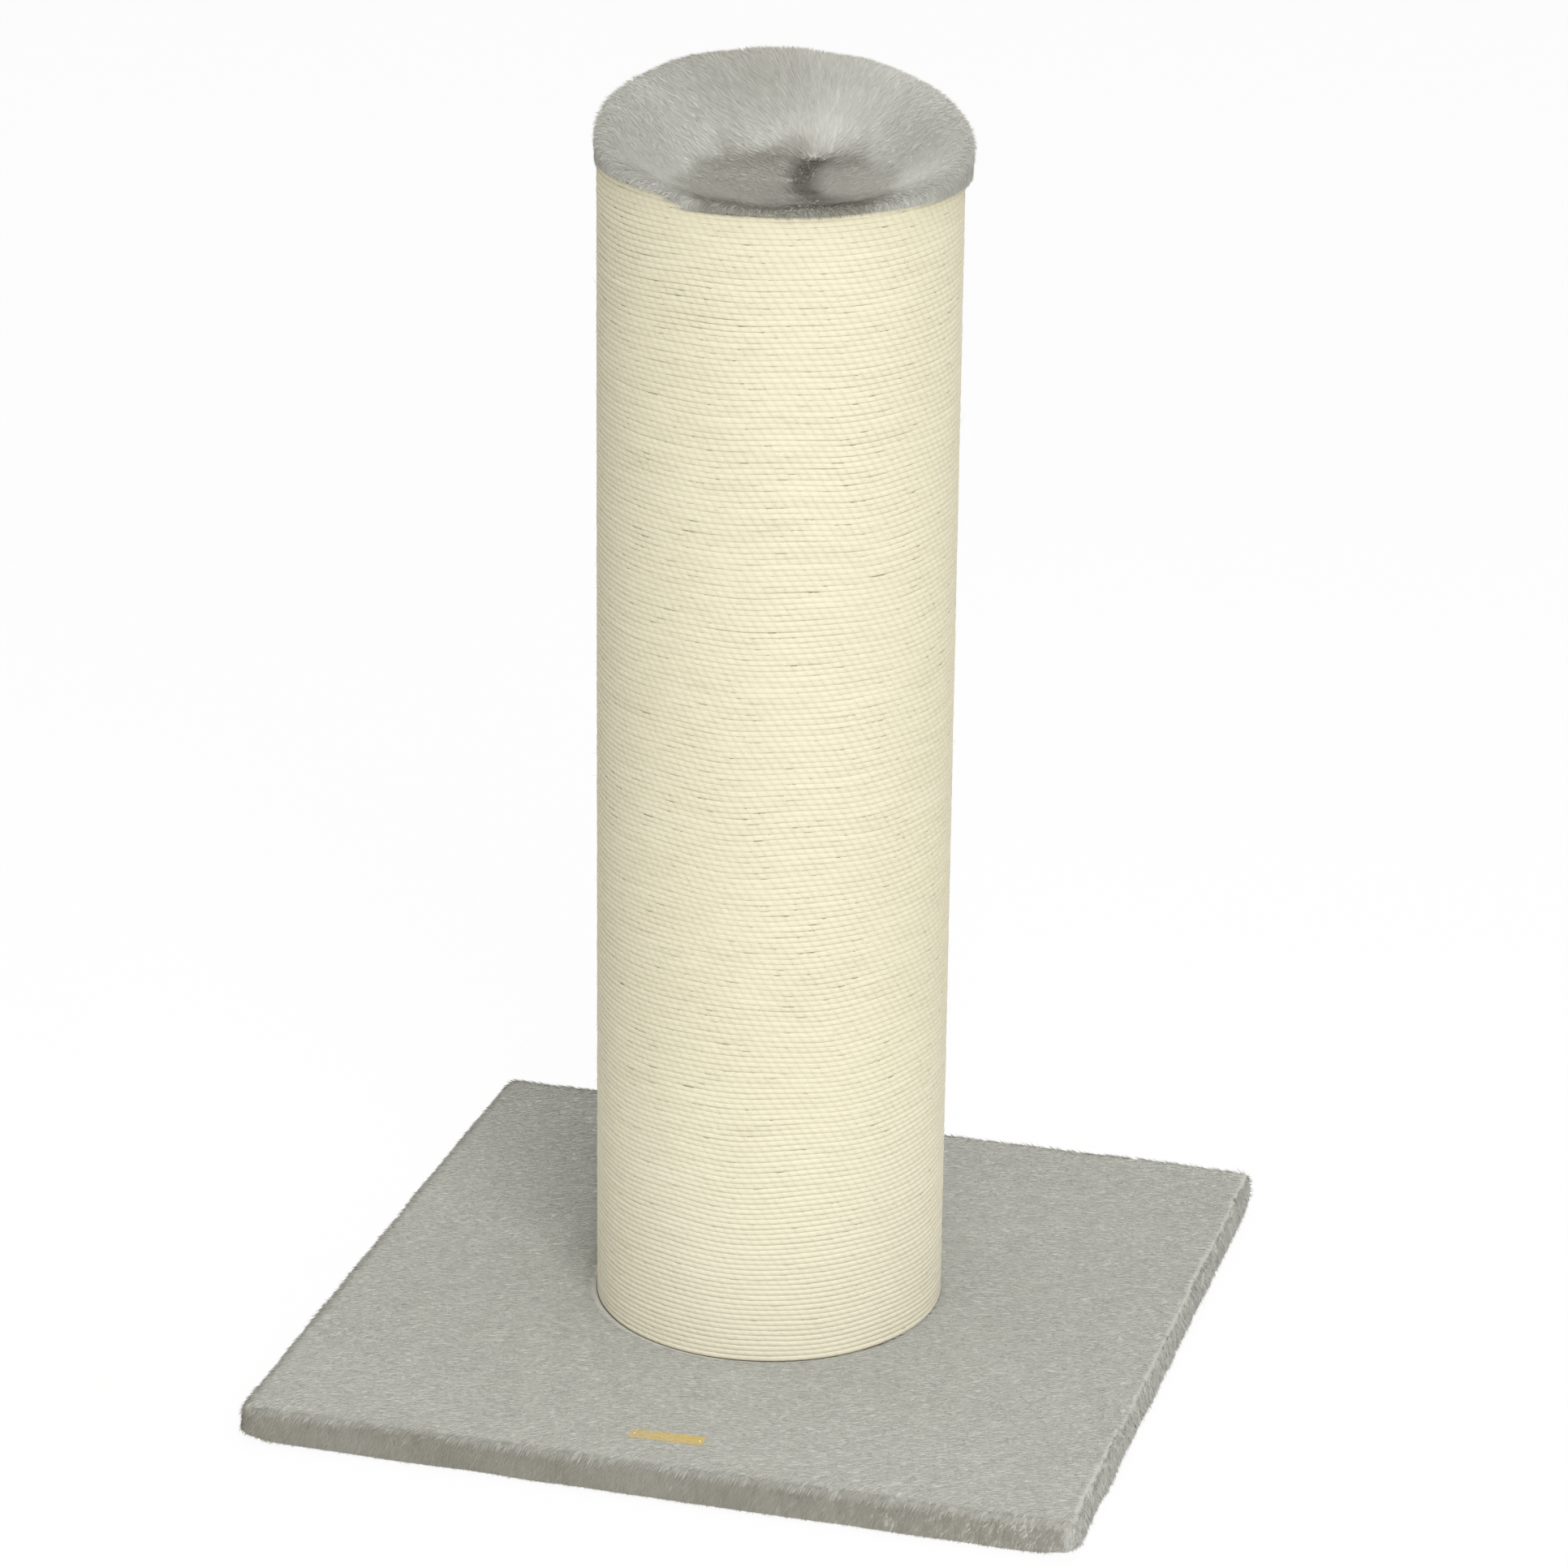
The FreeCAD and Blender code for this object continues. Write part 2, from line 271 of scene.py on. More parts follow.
# ---- Pieces ----
def new_piece(name, points, faces, material, smooth=True, uvs=None, values=None):
    """Object from arrays: points, a list of arrays of faces with as many corners each, UV maps and point
    values."""
    mesh = bpy.data.meshes.new(name)
    corners = np.concatenate([part.ravel() for part in faces]).astype(np.int32)
    sizes = np.concatenate([np.full(len(part), part.shape[1]) for part in faces])
    mesh.vertices.add(len(points))
    mesh.vertices.foreach_set("co", np.ascontiguousarray(points, np.float32).ravel())
    mesh.loops.add(len(corners))
    mesh.loops.foreach_set("vertex_index", corners)
    mesh.polygons.add(len(sizes))
    mesh.polygons.foreach_set("loop_start", (np.cumsum(sizes) - sizes).astype(np.int32))
    mesh.polygons.foreach_set("use_smooth", np.full(len(sizes), smooth))
    mesh.update(calc_edges=True)
    for layer, pairs in (uvs or {}).items():
        mesh.uv_layers.new(name=layer, do_init=False).uv.foreach_set(
            "vector", np.ascontiguousarray(pairs, np.float32).ravel())
    for attribute, numbers in (values or {}).items():
        mesh.attributes.new(attribute, "FLOAT", "POINT").data.foreach_set(
            "value", np.ascontiguousarray(numbers, np.float32).ravel())
    mesh.materials.append(material)
    piece = bpy.data.objects.new(name, mesh)
    bpy.context.scene.collection.objects.link(piece)
    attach(piece, BODY)
    return piece


def grid_loop_uv(u, v, others=0):
    """UV pairs of each quad's four corners, from arrays with one more column than the grid, for the joining
    column, and zeros for the corners of the other faces."""
    def corners(values):
        return np.stack([values[:-1, :-1], values[1:, :-1], values[1:, 1:], values[:-1, 1:]], axis=-1)
    return np.concatenate([np.stack([corners(u), corners(v)], axis=-1).reshape(-1, 2), np.zeros((others, 2))])


def hairs(name, roots, normals, heads, widths, lengths, shades, tones, material, seed):
    """Locks of hair as closed three-sided spikes: two root points at the width apart, a third below them, so
    that a flat face looks out along the normal, each rolled a little, and a tip one length away. The roots
    start a little under the surface. The tuft's tone makes up most of a lock's own value, with the painted
    light that some callers add to it; the shade value is painted shade."""
    rng = np.random.default_rng(seed)
    count = len(roots)
    roots = roots - normals * ROOT_DEPTH
    heads = unit(heads)
    across = unit(np.cross(normals, heads))
    over = np.cross(heads, across)
    turn = rng.normal(0, 0.14, count)[:, None] + np.radians([30.0, 150.0, 270.0])
    foot = roots[:, None] + widths[:, None, None] / math.sqrt(3) * (
        np.cos(turn)[..., None] * across[:, None] + np.sin(turn)[..., None] * over[:, None])
    points = np.concatenate([foot, (roots + heads * lengths[:, None])[:, None]], axis=1)
    triangles = repeated([np.array([[0, 1, 3], [1, 2, 3], [2, 0, 3], [0, 2, 1]])], count, 4)[0]
    lock = 0.3 * rng.uniform(0, 1, count) + 0.7 * tones
    low, high = roots.min(0), roots.max(0)
    place = (roots - low)[:, :2] / np.maximum((high - low)[:2], 1e-6) * 0.98 + 0.01
    drift = np.array([[0.0, 0.0], [0.0012, 0.0], [0.0, 0.0012], [0.0024, 0.0024]])
    spots = (place[:, None] + drift).reshape(-1, 2)
    new_piece(name, points.reshape(-1, 3), [triangles], material, smooth=False,
              uvs={"OFBake": spots[triangles.ravel()]},
              values={"along": np.tile([0.0, 0.0, 0.0, 1.0], count), "lock": np.repeat(lock, 4),
                      "shade": np.repeat(shades, 4)})


def raised(normal, lie, rise):
    """Directions that rise from their lie in the surface by an angle."""
    return lie * np.cos(rise) + normal * np.sin(rise)


def kept_short(length, room, hangs):
    """Lengths that end within their room where the hair hangs over an edge."""
    return np.where(hangs, np.minimum(length, np.maximum(room, SHORTEST_HAIR)), length)


def pile(name, parts, seed, locks, *values):
    """Hair in one piece, or in several cut across from front to back. The values are arrays with a row for
    each lock: roots, normals, heads, widths, lengths, shades and tones."""
    order = np.argsort(values[0][:, 1], kind="stable") if parts > 1 else np.arange(len(values[0]))
    for index, chosen in enumerate(np.array_split(order, parts)):
        label = f"{name}_{index + 1}" if parts > 1 else name
        hairs(label, *(value[chosen] for value in values), locks, seed + index)


def scatter(surface, count, seed, weight=None):
    """Random places on a grid surface, by area: a cell, then a place in it. Gives points, normals and the
    direction from row to row. Columns close on themselves."""
    rng = np.random.default_rng(seed)
    ring = joined(surface)
    a, b, c = ring[:-1, :-1], ring[1:, :-1], ring[:-1, 1:]
    area = np.linalg.norm(np.cross(b - a, c - a), axis=-1)
    if weight is not None:
        area = area * weight
    cell = rng.choice(area.size, count, p=area.ravel() / area.sum())
    row, column = np.divmod(cell, area.shape[1])
    s, t = rng.uniform(0, 1, count), rng.uniform(0, 1, count)
    corner = [ring[row + i, column + j] for i in (0, 1) for j in (0, 1)]
    run = unit((corner[2] - corner[0]) * (1 - t)[:, None] + (corner[3] - corner[1]) * t[:, None])
    side = unit((corner[1] - corner[0]) * (1 - s)[:, None] + (corner[3] - corner[2]) * s[:, None])
    points = (corner[0] * ((1 - s) * (1 - t))[:, None] + corner[1] * ((1 - s) * t)[:, None]
              + corner[2] * (s * (1 - t))[:, None] + corner[3] * (s * t)[:, None])
    return points, unit(np.cross(run, side)), run


# ---- Shader helpers ----
def feed(tree, socket, value):
    """Links an output to a socket, or writes a plain value into it."""
    if isinstance(value, bpy.types.NodeSocket):
        tree.links.new(value, socket)
    else:
        socket.default_value = value


def put(tree, kind, values=None, **settings):
    """Adds a node, sets its properties and feeds its sockets."""
    node = tree.nodes.new(kind)
    for key, value in settings.items():
        setattr(node, key, value)
    for socket, value in (values or {}).items():
        feed(tree, node.inputs[socket], value)
    return node


def maths(tree, operation, first, second=0.5, clamp=False):
    return put(tree, "ShaderNodeMath", {0: first, 1: second}, operation=operation, use_clamp=clamp).outputs[0]


def times(tree, first, second):
    return maths(tree, "MULTIPLY", first, second)


def plus(tree, first, second):
    return maths(tree, "ADD", first, second)


def vectors(tree, operation, first, second):
    return put(tree, "ShaderNodeVectorMath", {0: first, 1: second}, operation=operation).outputs[0]


def split(tree, vector):
    return put(tree, "ShaderNodeSeparateXYZ", {0: vector}).outputs


def noise(tree, place, scale=1.0, detail=3.0, roughness=0.5, line=False):
    """Outputs of smooth noise at a place, or at a length along a line."""
    values = {"W" if line else "Vector": place, "Scale": scale, "Detail": detail, "Roughness": roughness}
    return put(tree, "ShaderNodeTexNoise", values, noise_dimensions="1D" if line else "3D").outputs


def mixed(tree, factor, *colours):
    """Colour between two colours or outputs."""
    first, second = (each if isinstance(each, bpy.types.NodeSocket) else (*each, 1.0) for each in colours)
    return put(tree, "ShaderNodeMix", {0: factor, 6: first, 7: second}, data_type="RGBA").outputs[2]


def tint(tree, colour, mask, amount, towards, flip=False):
    """The colour moved towards another by an amount times a mask, or times one less the mask."""
    mask = maths(tree, "SUBTRACT", 1.0, mask) if flip else mask
    return mixed(tree, maths(tree, "MULTIPLY", mask, amount), colour, towards)


def spread(tree, value, low, high, new_low=0.0, new_high=1.0):
    node = put(tree, "ShaderNodeMapRange", {0: value, 1: low, 2: high, 3: new_low, 4: new_high})
    return node.outputs[0]


def new_group(name, inputs, outputs):
    """Node group with named number outputs, and inputs by their defaults: a number, or None for a vector.
    Gives its tree, the sockets inside that hold the inputs, and a function that fills the outputs by name."""
    tree = bpy.data.node_groups.new(name, "ShaderNodeTree")
    for label, default in inputs.items():
        kind = "NodeSocketVector" if default is None else "NodeSocketFloat"
        socket = tree.interface.new_socket(name=label, in_out="INPUT", socket_type=kind)
        if default is not None:
            socket.default_value = default
    for label in outputs:
        tree.interface.new_socket(name=label, in_out="OUTPUT", socket_type="NodeSocketFloat")
    given, result = tree.nodes.new("NodeGroupInput").outputs, tree.nodes.new("NodeGroupOutput").inputs

    def give(**values):
        for label, value in values.items():
            tree.links.new(value, result[label])

    return tree, given, give


def pile_streaks_group():
    """Streaks of combed pile: noise drawn out along the vector's X by Run and across it by Width."""
    tree, given, give = new_group("Pile Streaks", {"Vector": None, "Run": 8 * MM, "Width": MM},
                                  ("Streak", "Height"))
    size = put(tree, "ShaderNodeCombineXYZ", {0: given["Run"], 1: given["Width"], 2: given["Width"]}).outputs[0]
    sway = vectors(tree, "SUBTRACT", noise(tree, given["Vector"], 45.0, 1.0)["Color"], (0.5, 0.5, 0.5))
    sway = vectors(tree, "MULTIPLY", sway, (0.0, 0.004, 0.0))
    drawn = vectors(tree, "DIVIDE", vectors(tree, "ADD", given["Vector"], sway), size)
    fine = noise(tree, drawn, roughness=0.6)["Fac"]
    give(Streak=spread(tree, fine, 0.3, 0.7), Height=fine)


def soft_patches_group():
    """Soft patches where the pile lies a little differently: two sizes of smooth noise added."""
    tree, given, give = new_group("Soft Patches", {"Vector": None, "Size": 80 * MM}, ("Patch",))
    scale = maths(tree, "DIVIDE", 1.0, given["Size"])
    large = noise(tree, given["Vector"], scale, 1.0)["Fac"]
    small = noise(tree, given["Vector"], times(tree, scale, 4.0), 2.0)["Fac"]
    give(Patch=spread(tree, plus(tree, times(tree, large, 0.7), times(tree, small, 0.3)), 0.35, 0.65))


def laid_rope_group():
    """Three-ply lay: ridges from the sine of length over ply pitch plus turns round the rope, fibres as noise
    drawn out along the plies, slow patches along the rope, and a groove between turns with dashes in it."""
    tree, given, give = new_group("Laid Rope", {"Length": 0.0, "Round": 0.0, "Ply Pitch": 6 * MM},
                                  ("Lay", "Fibre", "Patch", "Groove", "Dash"))
    length, around = given["Length"], given["Round"]
    phase = plus(tree, maths(tree, "DIVIDE", length, given["Ply Pitch"]), around)
    ridge = maths(tree, "ABSOLUTE", maths(tree, "SINE", times(tree, phase, math.pi)))
    twisted = put(tree, "ShaderNodeCombineXYZ", {0: times(tree, length, 90.0), 1: times(tree, phase, 5.0),
                                                 2: times(tree, around, 6.0)}).outputs[0]
    fibre = noise(tree, twisted, roughness=0.65)["Fac"]
    slow = noise(tree, times(tree, length, 14.0), line=True)["Fac"]
    aside = maths(tree, "ABSOLUTE", maths(tree, "SUBTRACT", around, OUTER_SIDE))
    lower = maths(tree, "GREATER_THAN", OUTER_SIDE, around)
    along = plus(tree, times(tree, length, 48.0), times(tree, lower, 51.7))
    spots = noise(tree, along, roughness=0.7, line=True)
    give(Lay=maths(tree, "POWER", ridge, 0.6), Fibre=spread(tree, fibre, 0.3, 0.7),
         Patch=spread(tree, slow, 0.3, 0.7), Groove=spread(tree, aside, 0.10, 0.19),
         Dash=times(tree, spread(tree, spots["Fac"], 0.60, 0.70), spread(tree, aside, 0.14, 0.18)))


def grain_group():
    """Speckled grain: cells of a Voronoi pattern with their own value each, and fine noise."""
    tree, given, give = new_group("Speckled Grain", {"Vector": None, "Size": 3 * MM}, ("Cell", "Fine"))
    scale = maths(tree, "DIVIDE", 1.0, given["Size"])
    cells = put(tree, "ShaderNodeTexVoronoi", {"Vector": given["Vector"], "Scale": scale}).outputs["Color"]
    give(Cell=put(tree, "ShaderNodeSeparateColor", {0: cells}).outputs[0],
         Fine=noise(tree, given["Vector"], times(tree, scale, 2.5), 4.0)["Fac"])


def use_group(tree, name, values):
    return put(tree, "ShaderNodeGroup", values, node_tree=bpy.data.node_groups[name]).outputs


def patches(tree, size):
    return use_group(tree, "Soft Patches", {"Vector": object_place(tree), "Size": size})["Patch"]


def grain(tree, size):
    return use_group(tree, "Speckled Grain", {"Vector": object_place(tree), "Size": size})


def new_material(name, **shader):
    """Material with a Principled shader and values of its sockets. Gives the material and its tree."""
    material = bpy.data.materials.new(name)
    material.use_nodes = True
    for socket, value in shader.items():
        material.node_tree.nodes["Principled BSDF"].inputs[socket.replace("_", " ")].default_value = value
    return material, material.node_tree


def shaded(material, colour, roughness=None, height=None, distance=0.1 * MM, strength=0.5):
    """Gives the material's shader a colour and, where there are any, a roughness and a relief."""
    tree = material.node_tree
    sockets = tree.nodes["Principled BSDF"].inputs
    tree.links.new(colour, sockets["Base Color"])
    if roughness is not None:
        tree.links.new(roughness, sockets["Roughness"])
    if height is not None:
        bump = put(tree, "ShaderNodeBump", {"Height": height, "Distance": distance, "Strength": strength})
        tree.links.new(bump.outputs[0], sockets["Normal"])
    return material


def object_place(tree):
    return tree.nodes.new("ShaderNodeTexCoord").outputs["Object"]


def read_value(tree, name):
    return put(tree, "ShaderNodeAttribute", attribute_name=name).outputs["Fac"]


# ---- Materials ----
def plush_backing_material(plush):
    """Pile close to the backing: streaks along the nap map, soft patches, and painted shade towards the painted
    shade colour by the shade value."""
    material, tree = new_material("Combed Plush", Roughness=0.85, Sheen_Weight=0.15, Specular_IOR_Level=0.2)
    nap = put(tree, "ShaderNodeUVMap", uv_map="Nap").outputs[0]
    streak = use_group(tree, "Pile Streaks", {"Vector": nap, "Run": 9 * MM, "Width": 0.9 * MM})
    # Painted shade: the shade value mixes the pile towards the painted shade colour.
    colour = mixed(tree, read_value(tree, "shade"), plush.colour, plush.painted_shade_colour)
    colour = tint(tree, colour, streak["Streak"], 0.2, (0.25, 0.24, 0.21), flip=True)
    colour = tint(tree, colour, patches(tree, PLUSH_PATCHES), 0.12, (0.62, 0.62, 0.6))
    return shaded(material, colour, height=streak["Height"], distance=0.6 * MM)


def plush_hair_material(plush):
    """Locks of pile: painted shade by the shade value and at the root, each a little lighter or darker by its lock
    value, which also carries painted light on right-hand sides, with the backing's soft patches.
    """
    material, tree = new_material("Plush Locks", Roughness=0.8, Sheen_Weight=0.1, Specular_IOR_Level=0.2)
    lock, shadow = read_value(tree, "lock"), (0.2, 0.19, 0.16)
    # Painted shade: the shade value mixes each lock towards the painted shade colour.
    colour = mixed(tree, read_value(tree, "shade"), plush.colour, plush.painted_shade_colour)
    # Painted shade at the roots: each lock darkens towards the shadow colour at its root.
    colour = tint(tree, colour, read_value(tree, "along"), 0.14, shadow, flip=True)
    # The lock value: each lock's own tone, plus painted light on right-hand sides.
    colour = tint(tree, colour, lock, 0.12, shadow, flip=True)
    colour = tint(tree, colour, lock, 0.12, (0.80, 0.79, 0.76))
    return shaded(material, tint(tree, colour, patches(tree, PLUSH_PATCHES), 0.12, (0.62, 0.62, 0.6)))


def sisal_material(rope):
    """Sisal: pale and darker strands along the plies, with painted shade in the valleys between plies, a slow
    change along the rope, the groove between turns painted lighter as painted light, dark dashes of painted
    shade in the gaps between the turns, a foot of the column painted paler as painted light, and the lay as
    relief."""
    material, tree = new_material("Laid Sisal", Roughness=0.7, Specular_IOR_Level=0.3, Sheen_Weight=0.05)
    lane = split(tree, put(tree, "ShaderNodeUVMap", uv_map="Lane").outputs[0])
    laid = use_group(tree, "Laid Rope", {"Length": lane[0], "Round": lane[1], "Ply Pitch": 7 * MM})
    # Darker sisal: the fibre noise gives darker strands; the low parts of the lay paint shade in the valleys between
    # plies.
    dark = [times(tree, maths(tree, "SUBTRACT", 1.0, laid[part]), amount)
            for part, amount in (("Fibre", 0.45), ("Lay", 0.65))]
    colour = mixed(tree, maths(tree, "ADD", *dark, clamp=True), rope.colour, rope.dark_colour)
    colour = tint(tree, colour, laid["Patch"], 0.35, (0.86, 0.81, 0.64))
    colour = tint(tree, colour, patches(tree, 110 * MM), 0.2, (0.74, 0.70, 0.50))
    # Painted light: the groove between turns is painted lighter against its own shade.
    colour = tint(tree, colour, laid["Groove"], 0.5, (0.90, 0.86, 0.72))
    # Painted shade: dark dashes in the gaps between the turns.
    colour = tint(tree, colour, laid["Dash"], 0.75, (0.20, 0.16, 0.085))
    # Painted light: the sisal is painted paler towards the column's foot, up to 0.30 m, standing in for light there.
    rise = split(tree, object_place(tree))[2]
    colour = mixed(tree, spread(tree, rise, 0.03, 0.30, 0.45, 0.0), colour, (0.90, 0.86, 0.72))
    height = plus(tree, times(tree, laid["Lay"], 0.7), times(tree, laid["Fibre"], 0.5))
    return shaded(material, colour, roughness=spread(tree, laid["Fibre"], 0.0, 1.0, 0.6, 0.8), height=height,
                  distance=0.35 * MM, strength=0.6)


def fibre_material(rope):
    """Loose fibres: the rope's colour with small paler spots."""
    material, tree = new_material("Sisal Fibre", Roughness=0.5, Specular_IOR_Level=0.4)
    return shaded(material, mixed(tree, patches(tree, 12 * MM), rope.colour, (0.9, 0.87, 0.75)))


def chipboard_material():
    """Pressed chips, each of its own brown, with pale dust between them."""
    material, tree = new_material("Chipboard", Roughness=0.8)
    chips = grain(tree, 3.5 * MM)
    colour = mixed(tree, chips["Cell"], (0.62, 0.46, 0.28), (0.42, 0.29, 0.16))
    return shaded(material, tint(tree, colour, chips["Fine"], 0.5, (0.72, 0.58, 0.38)),
                  roughness=spread(tree, chips["Fine"], 0.3, 0.7, 0.7, 0.9), height=chips["Fine"],
                  distance=0.3 * MM)


def tube_board_material():
    """Spiral-wound board: seams where height plus azimuth repeat at the paper's width."""
    paper_width, seam_width = 0.14, 0.012
    material, tree = new_material("Tube Board", Roughness=0.75)
    axis = split(tree, object_place(tree))
    azimuth = maths(tree, "DIVIDE", maths(tree, "ARCTAN2", axis[1], axis[0]), 2 * math.pi)
    seam = maths(tree, "FRACT", plus(tree, maths(tree, "DIVIDE", axis[2], paper_width), azimuth))
    edge, paper = spread(tree, seam, 0.0, seam_width, 1.0, 0.0), grain(tree, 1.2 * MM)["Fine"]
    colour = mixed(tree, paper, (0.45, 0.33, 0.21), (0.56, 0.44, 0.30))
    return shaded(material, tint(tree, colour, edge, 0.5, (0.25, 0.18, 0.11)),
                  height=maths(tree, "SUBTRACT", paper, edge), distance=0.2 * MM)


def speckled_material(name, size, part, pale, deep, distance, **shader):
    """Felt or foam: two colours and a relief by one part of the grain."""
    material, tree = new_material(name, Roughness=0.95, **shader)
    speck = grain(tree, size)[part]
    return shaded(material, mixed(tree, speck, pale, deep), height=speck, distance=distance)


def metal_material(name, pale, deep, roughness, run):
    """Metal with fine brushing drawn out along X, and a faint cloudy tarnish."""
    material, tree = new_material(name, Metallic=1.0)
    place = object_place(tree)
    brushed = use_group(tree, "Pile Streaks", {"Vector": place, "Run": run, "Width": 0.12 * MM})["Streak"]
    cloud = patches(tree, 9 * MM)
    rough = plus(tree, spread(tree, brushed, 0.0, 1.0, roughness - 0.08, roughness + 0.1),
                  times(tree, cloud, 0.06))
    return shaded(material, tint(tree, pale, cloud, 0.5, deep), roughness=rough, height=brushed,
                  distance=0.02 * MM, strength=0.4)


# ---- Rope ----
def winding_line(rope):
    """Centre line of the whole winding: azimuth and height grow evenly from the lower end, behind the column,
    to the upper, and height and radius wander a little. Gives azimuths, heights, radii, the length so far and
    the size."""
    part = (rope.end_azimuth - rope.start_azimuth) / (2 * np.pi) % 1
    total = round((rope.turns + part) * rope.steps_per_turn)
    share = np.arange(total + 1) / total
    turn = share * (rope.turns + part)
    azimuth = rope.end_azimuth - 2 * np.pi * (turn[-1] - turn)
    length = 2 * np.pi * turn * (COLUMN_RADIUS - rope.thickness / 2)
    low, high = ROPE_LOW[2] + rope.thickness / 2, ROPE_END
    settle = ease(turn, 0, 4) * ease(turn[-1] - turn, 0, 12)
    rows = waves(np.cos(azimuth) * 2.2, np.sin(azimuth) * 2.2 + turn / 20, 2.2, 11) * 0.7 * MM
    height = low + (high - low) * share + (rows + wander(length, 19 * MM, 3) * 0.19 * MM) * settle
    radius = COLUMN_RADIUS - 1.9 * MM + wander(length, 17 * MM, 4) * 0.12 * MM
    size = 1 + wander(length, 34 * MM, 5) * 0.05
    top_taper, foot_taper = 26 * MM, 30 * MM
    size = size * (1 - 0.75 * ease(length, length[-1] - top_taper, length[-1]))
    size = size * (1 - 0.75 * (1 - ease(length, 0, foot_taper)))
    return azimuth, height, radius, length, size


def tail_line(rope, steps=80):
    """Centre line of the rope's last length, doubled back over the top turn: it comes out from under the
    plush on the left and ends, tapered, a little short of the winding's own end."""
    azimuth = np.radians(np.linspace(-217, -106.5, steps))
    length = (azimuth - azimuth[0]) * (COLUMN_RADIUS - rope.thickness / 2)
    top, taper = ROPE_END + rope.thickness, 24 * MM
    height = top - 2.0 * MM * (1 - ease(length, 0, 110 * MM)) + wander(length, 23 * MM, 6) * 0.2 * MM
    height = height - 3.6 * MM * ease(length, length[-1] - taper, length[-1])
    radius = COLUMN_RADIUS - 1.8 * MM + wander(length, 17 * MM, 7) * 0.12 * MM
    size = 1 + wander(length, 31 * MM, 9) * 0.05
    size = size * (1 - 0.85 * ease(length, length[-1] - taper, length[-1]))
    return azimuth, height, radius, length, size


def rope_piece(name, rope, material, line, first=0, last=None):
    """Rope along a centre line, or between two of its steps: an eight-sided section, flat against the tube
    and round outside, carried along the line, with both ends closed. The bake map has a strip for each
    turn."""
    azimuth, height, radius, length, size = (values[first:last] for values in line)
    half = rope.thickness / 2
    out = np.array([-0.95, -0.95, 0.00, 0.62, 0.93, 0.93, 0.62, 0.00]) * half
    over = np.array([0.45, -0.45, -1.07, -0.94, -0.48, 0.48, 0.94, 1.07]) * half
    points = (around_axis(azimuth, radius, height)[:, None]
              + direction(azimuth)[:, None] * (out * size[:, None])[..., None]
              + UP * (over * size[:, None])[..., None])
    steps, sides = points.shape[:2]
    quads = grid_quads(steps, sides)
    caps = np.stack([np.arange(sides), (steps - 1) * sides + np.arange(sides)[::-1]])
    round_rope = np.arange(sides + 1) / sides
    lane_u = np.repeat(length[:, None], sides + 1, axis=1)
    lane_v = np.repeat(round_rope[None], steps, axis=0)
    turn = (azimuth - azimuth[0]) / (2 * np.pi)
    strip = np.floor(turn[:-1] + 1e-6)
    bake_u = np.stack([turn[:-1] - strip, turn[1:] - strip], axis=1)
    bake_v = (strip[:, None] + round_rope[None]) / (turn[-1] + 1)
    bake = np.stack([np.repeat(bake_u[:, None, [0, 1, 1, 0]], sides, axis=1),
                     np.stack([bake_v[:, :-1], bake_v[:, :-1], bake_v[:, 1:], bake_v[:, 1:]], axis=-1)], axis=-1)
    return new_piece(name, points.reshape(-1, 3), [quads, caps], material,
                     uvs={"Lane": grid_loop_uv(lane_u, lane_v, caps.size),
                          "OFBake": np.concatenate([bake.reshape(-1, 2), np.zeros((caps.size, 2))])})


def fibres_piece(name, rope, material, seed=8):
    """Loose fibres: thin three-sided tubes along parabolas that leave the rope's surface on a tangent, tilt
    up or down, and stand off by a millimetre or two."""
    rng = np.random.default_rng(seed)
    count, steps = rope.loose_fibres, 6
    azimuth = rng.uniform(0, 2 * np.pi, count)
    height = rng.uniform(ROPE_LOW[2] + 8 * MM, ROPE_HIGH[2] - 8 * MM, count)
    span = rng.gamma(3.0, 5.0, count).clip(6, 38) * MM
    tilt = rng.normal(0, 0.35, count)
    stands_off = rng.uniform(0, 1, count) < 0.35
    lift = np.where(stands_off, rng.uniform(1.5, 4.0, count), rng.uniform(0.1, 0.9, count)) * MM
    share = np.linspace(0, 1, steps)
    bearing = azimuth[:, None] + (span * np.cos(tilt))[:, None] * share / COLUMN_RADIUS
    away = COLUMN_RADIUS - 0.35 * MM + lift[:, None] * share ** 1.5
    bend = rng.normal(0, 2.0, count)[:, None] * MM * share ** 2
    line = around_axis(bearing, away, height[:, None] + (span * np.sin(tilt))[:, None] * share + bend)
    run = unit(np.gradient(line, axis=1))
    side = unit(np.cross(run, direction(bearing)))
    over = np.cross(side, run)
    thick = (rng.uniform(0.09, 0.15, count)[:, None] * MM) * (1 - 0.7 * share)
    turn = np.arange(3) * 2 * np.pi / 3
    points = line[:, :, None] + thick[..., None, None] * (
        np.cos(turn)[:, None] * side[:, :, None] + np.sin(turn)[:, None] * over[:, :, None])
    caps = np.array([[0, 1, 2], [(steps - 1) * 3 + 2, (steps - 1) * 3 + 1, (steps - 1) * 3]])
    faces = repeated([grid_quads(steps, 3), caps], count, steps * 3)
    new_piece(name, points.reshape(-1, 3), faces, material)


# ---- Base cover ----
def square_ring(side_steps=40, corner_steps=7):
    """Rounded square of half-width 1 as core points and directions: a ring is core times (half - corner) plus
    direction times corner."""
    cores, heads = [], []
    for quarter in range(4):
        facing = quarter * np.pi / 2
        along = np.linspace(-1, 1, side_steps, endpoint=False)
        face, left = direction(facing)[:2], direction(facing + np.pi / 2)[:2]
        cores.append(face + along[:, None] * left)
        heads.append(np.repeat(face[None], side_steps, axis=0))
        arc = facing + np.linspace(0, np.pi / 2, corner_steps)[:-1]
        cores.append(np.repeat((face + left)[None], corner_steps - 1, axis=0))
        heads.append(direction(arc)[:, :2])
    return np.concatenate(cores), np.concatenate(heads)


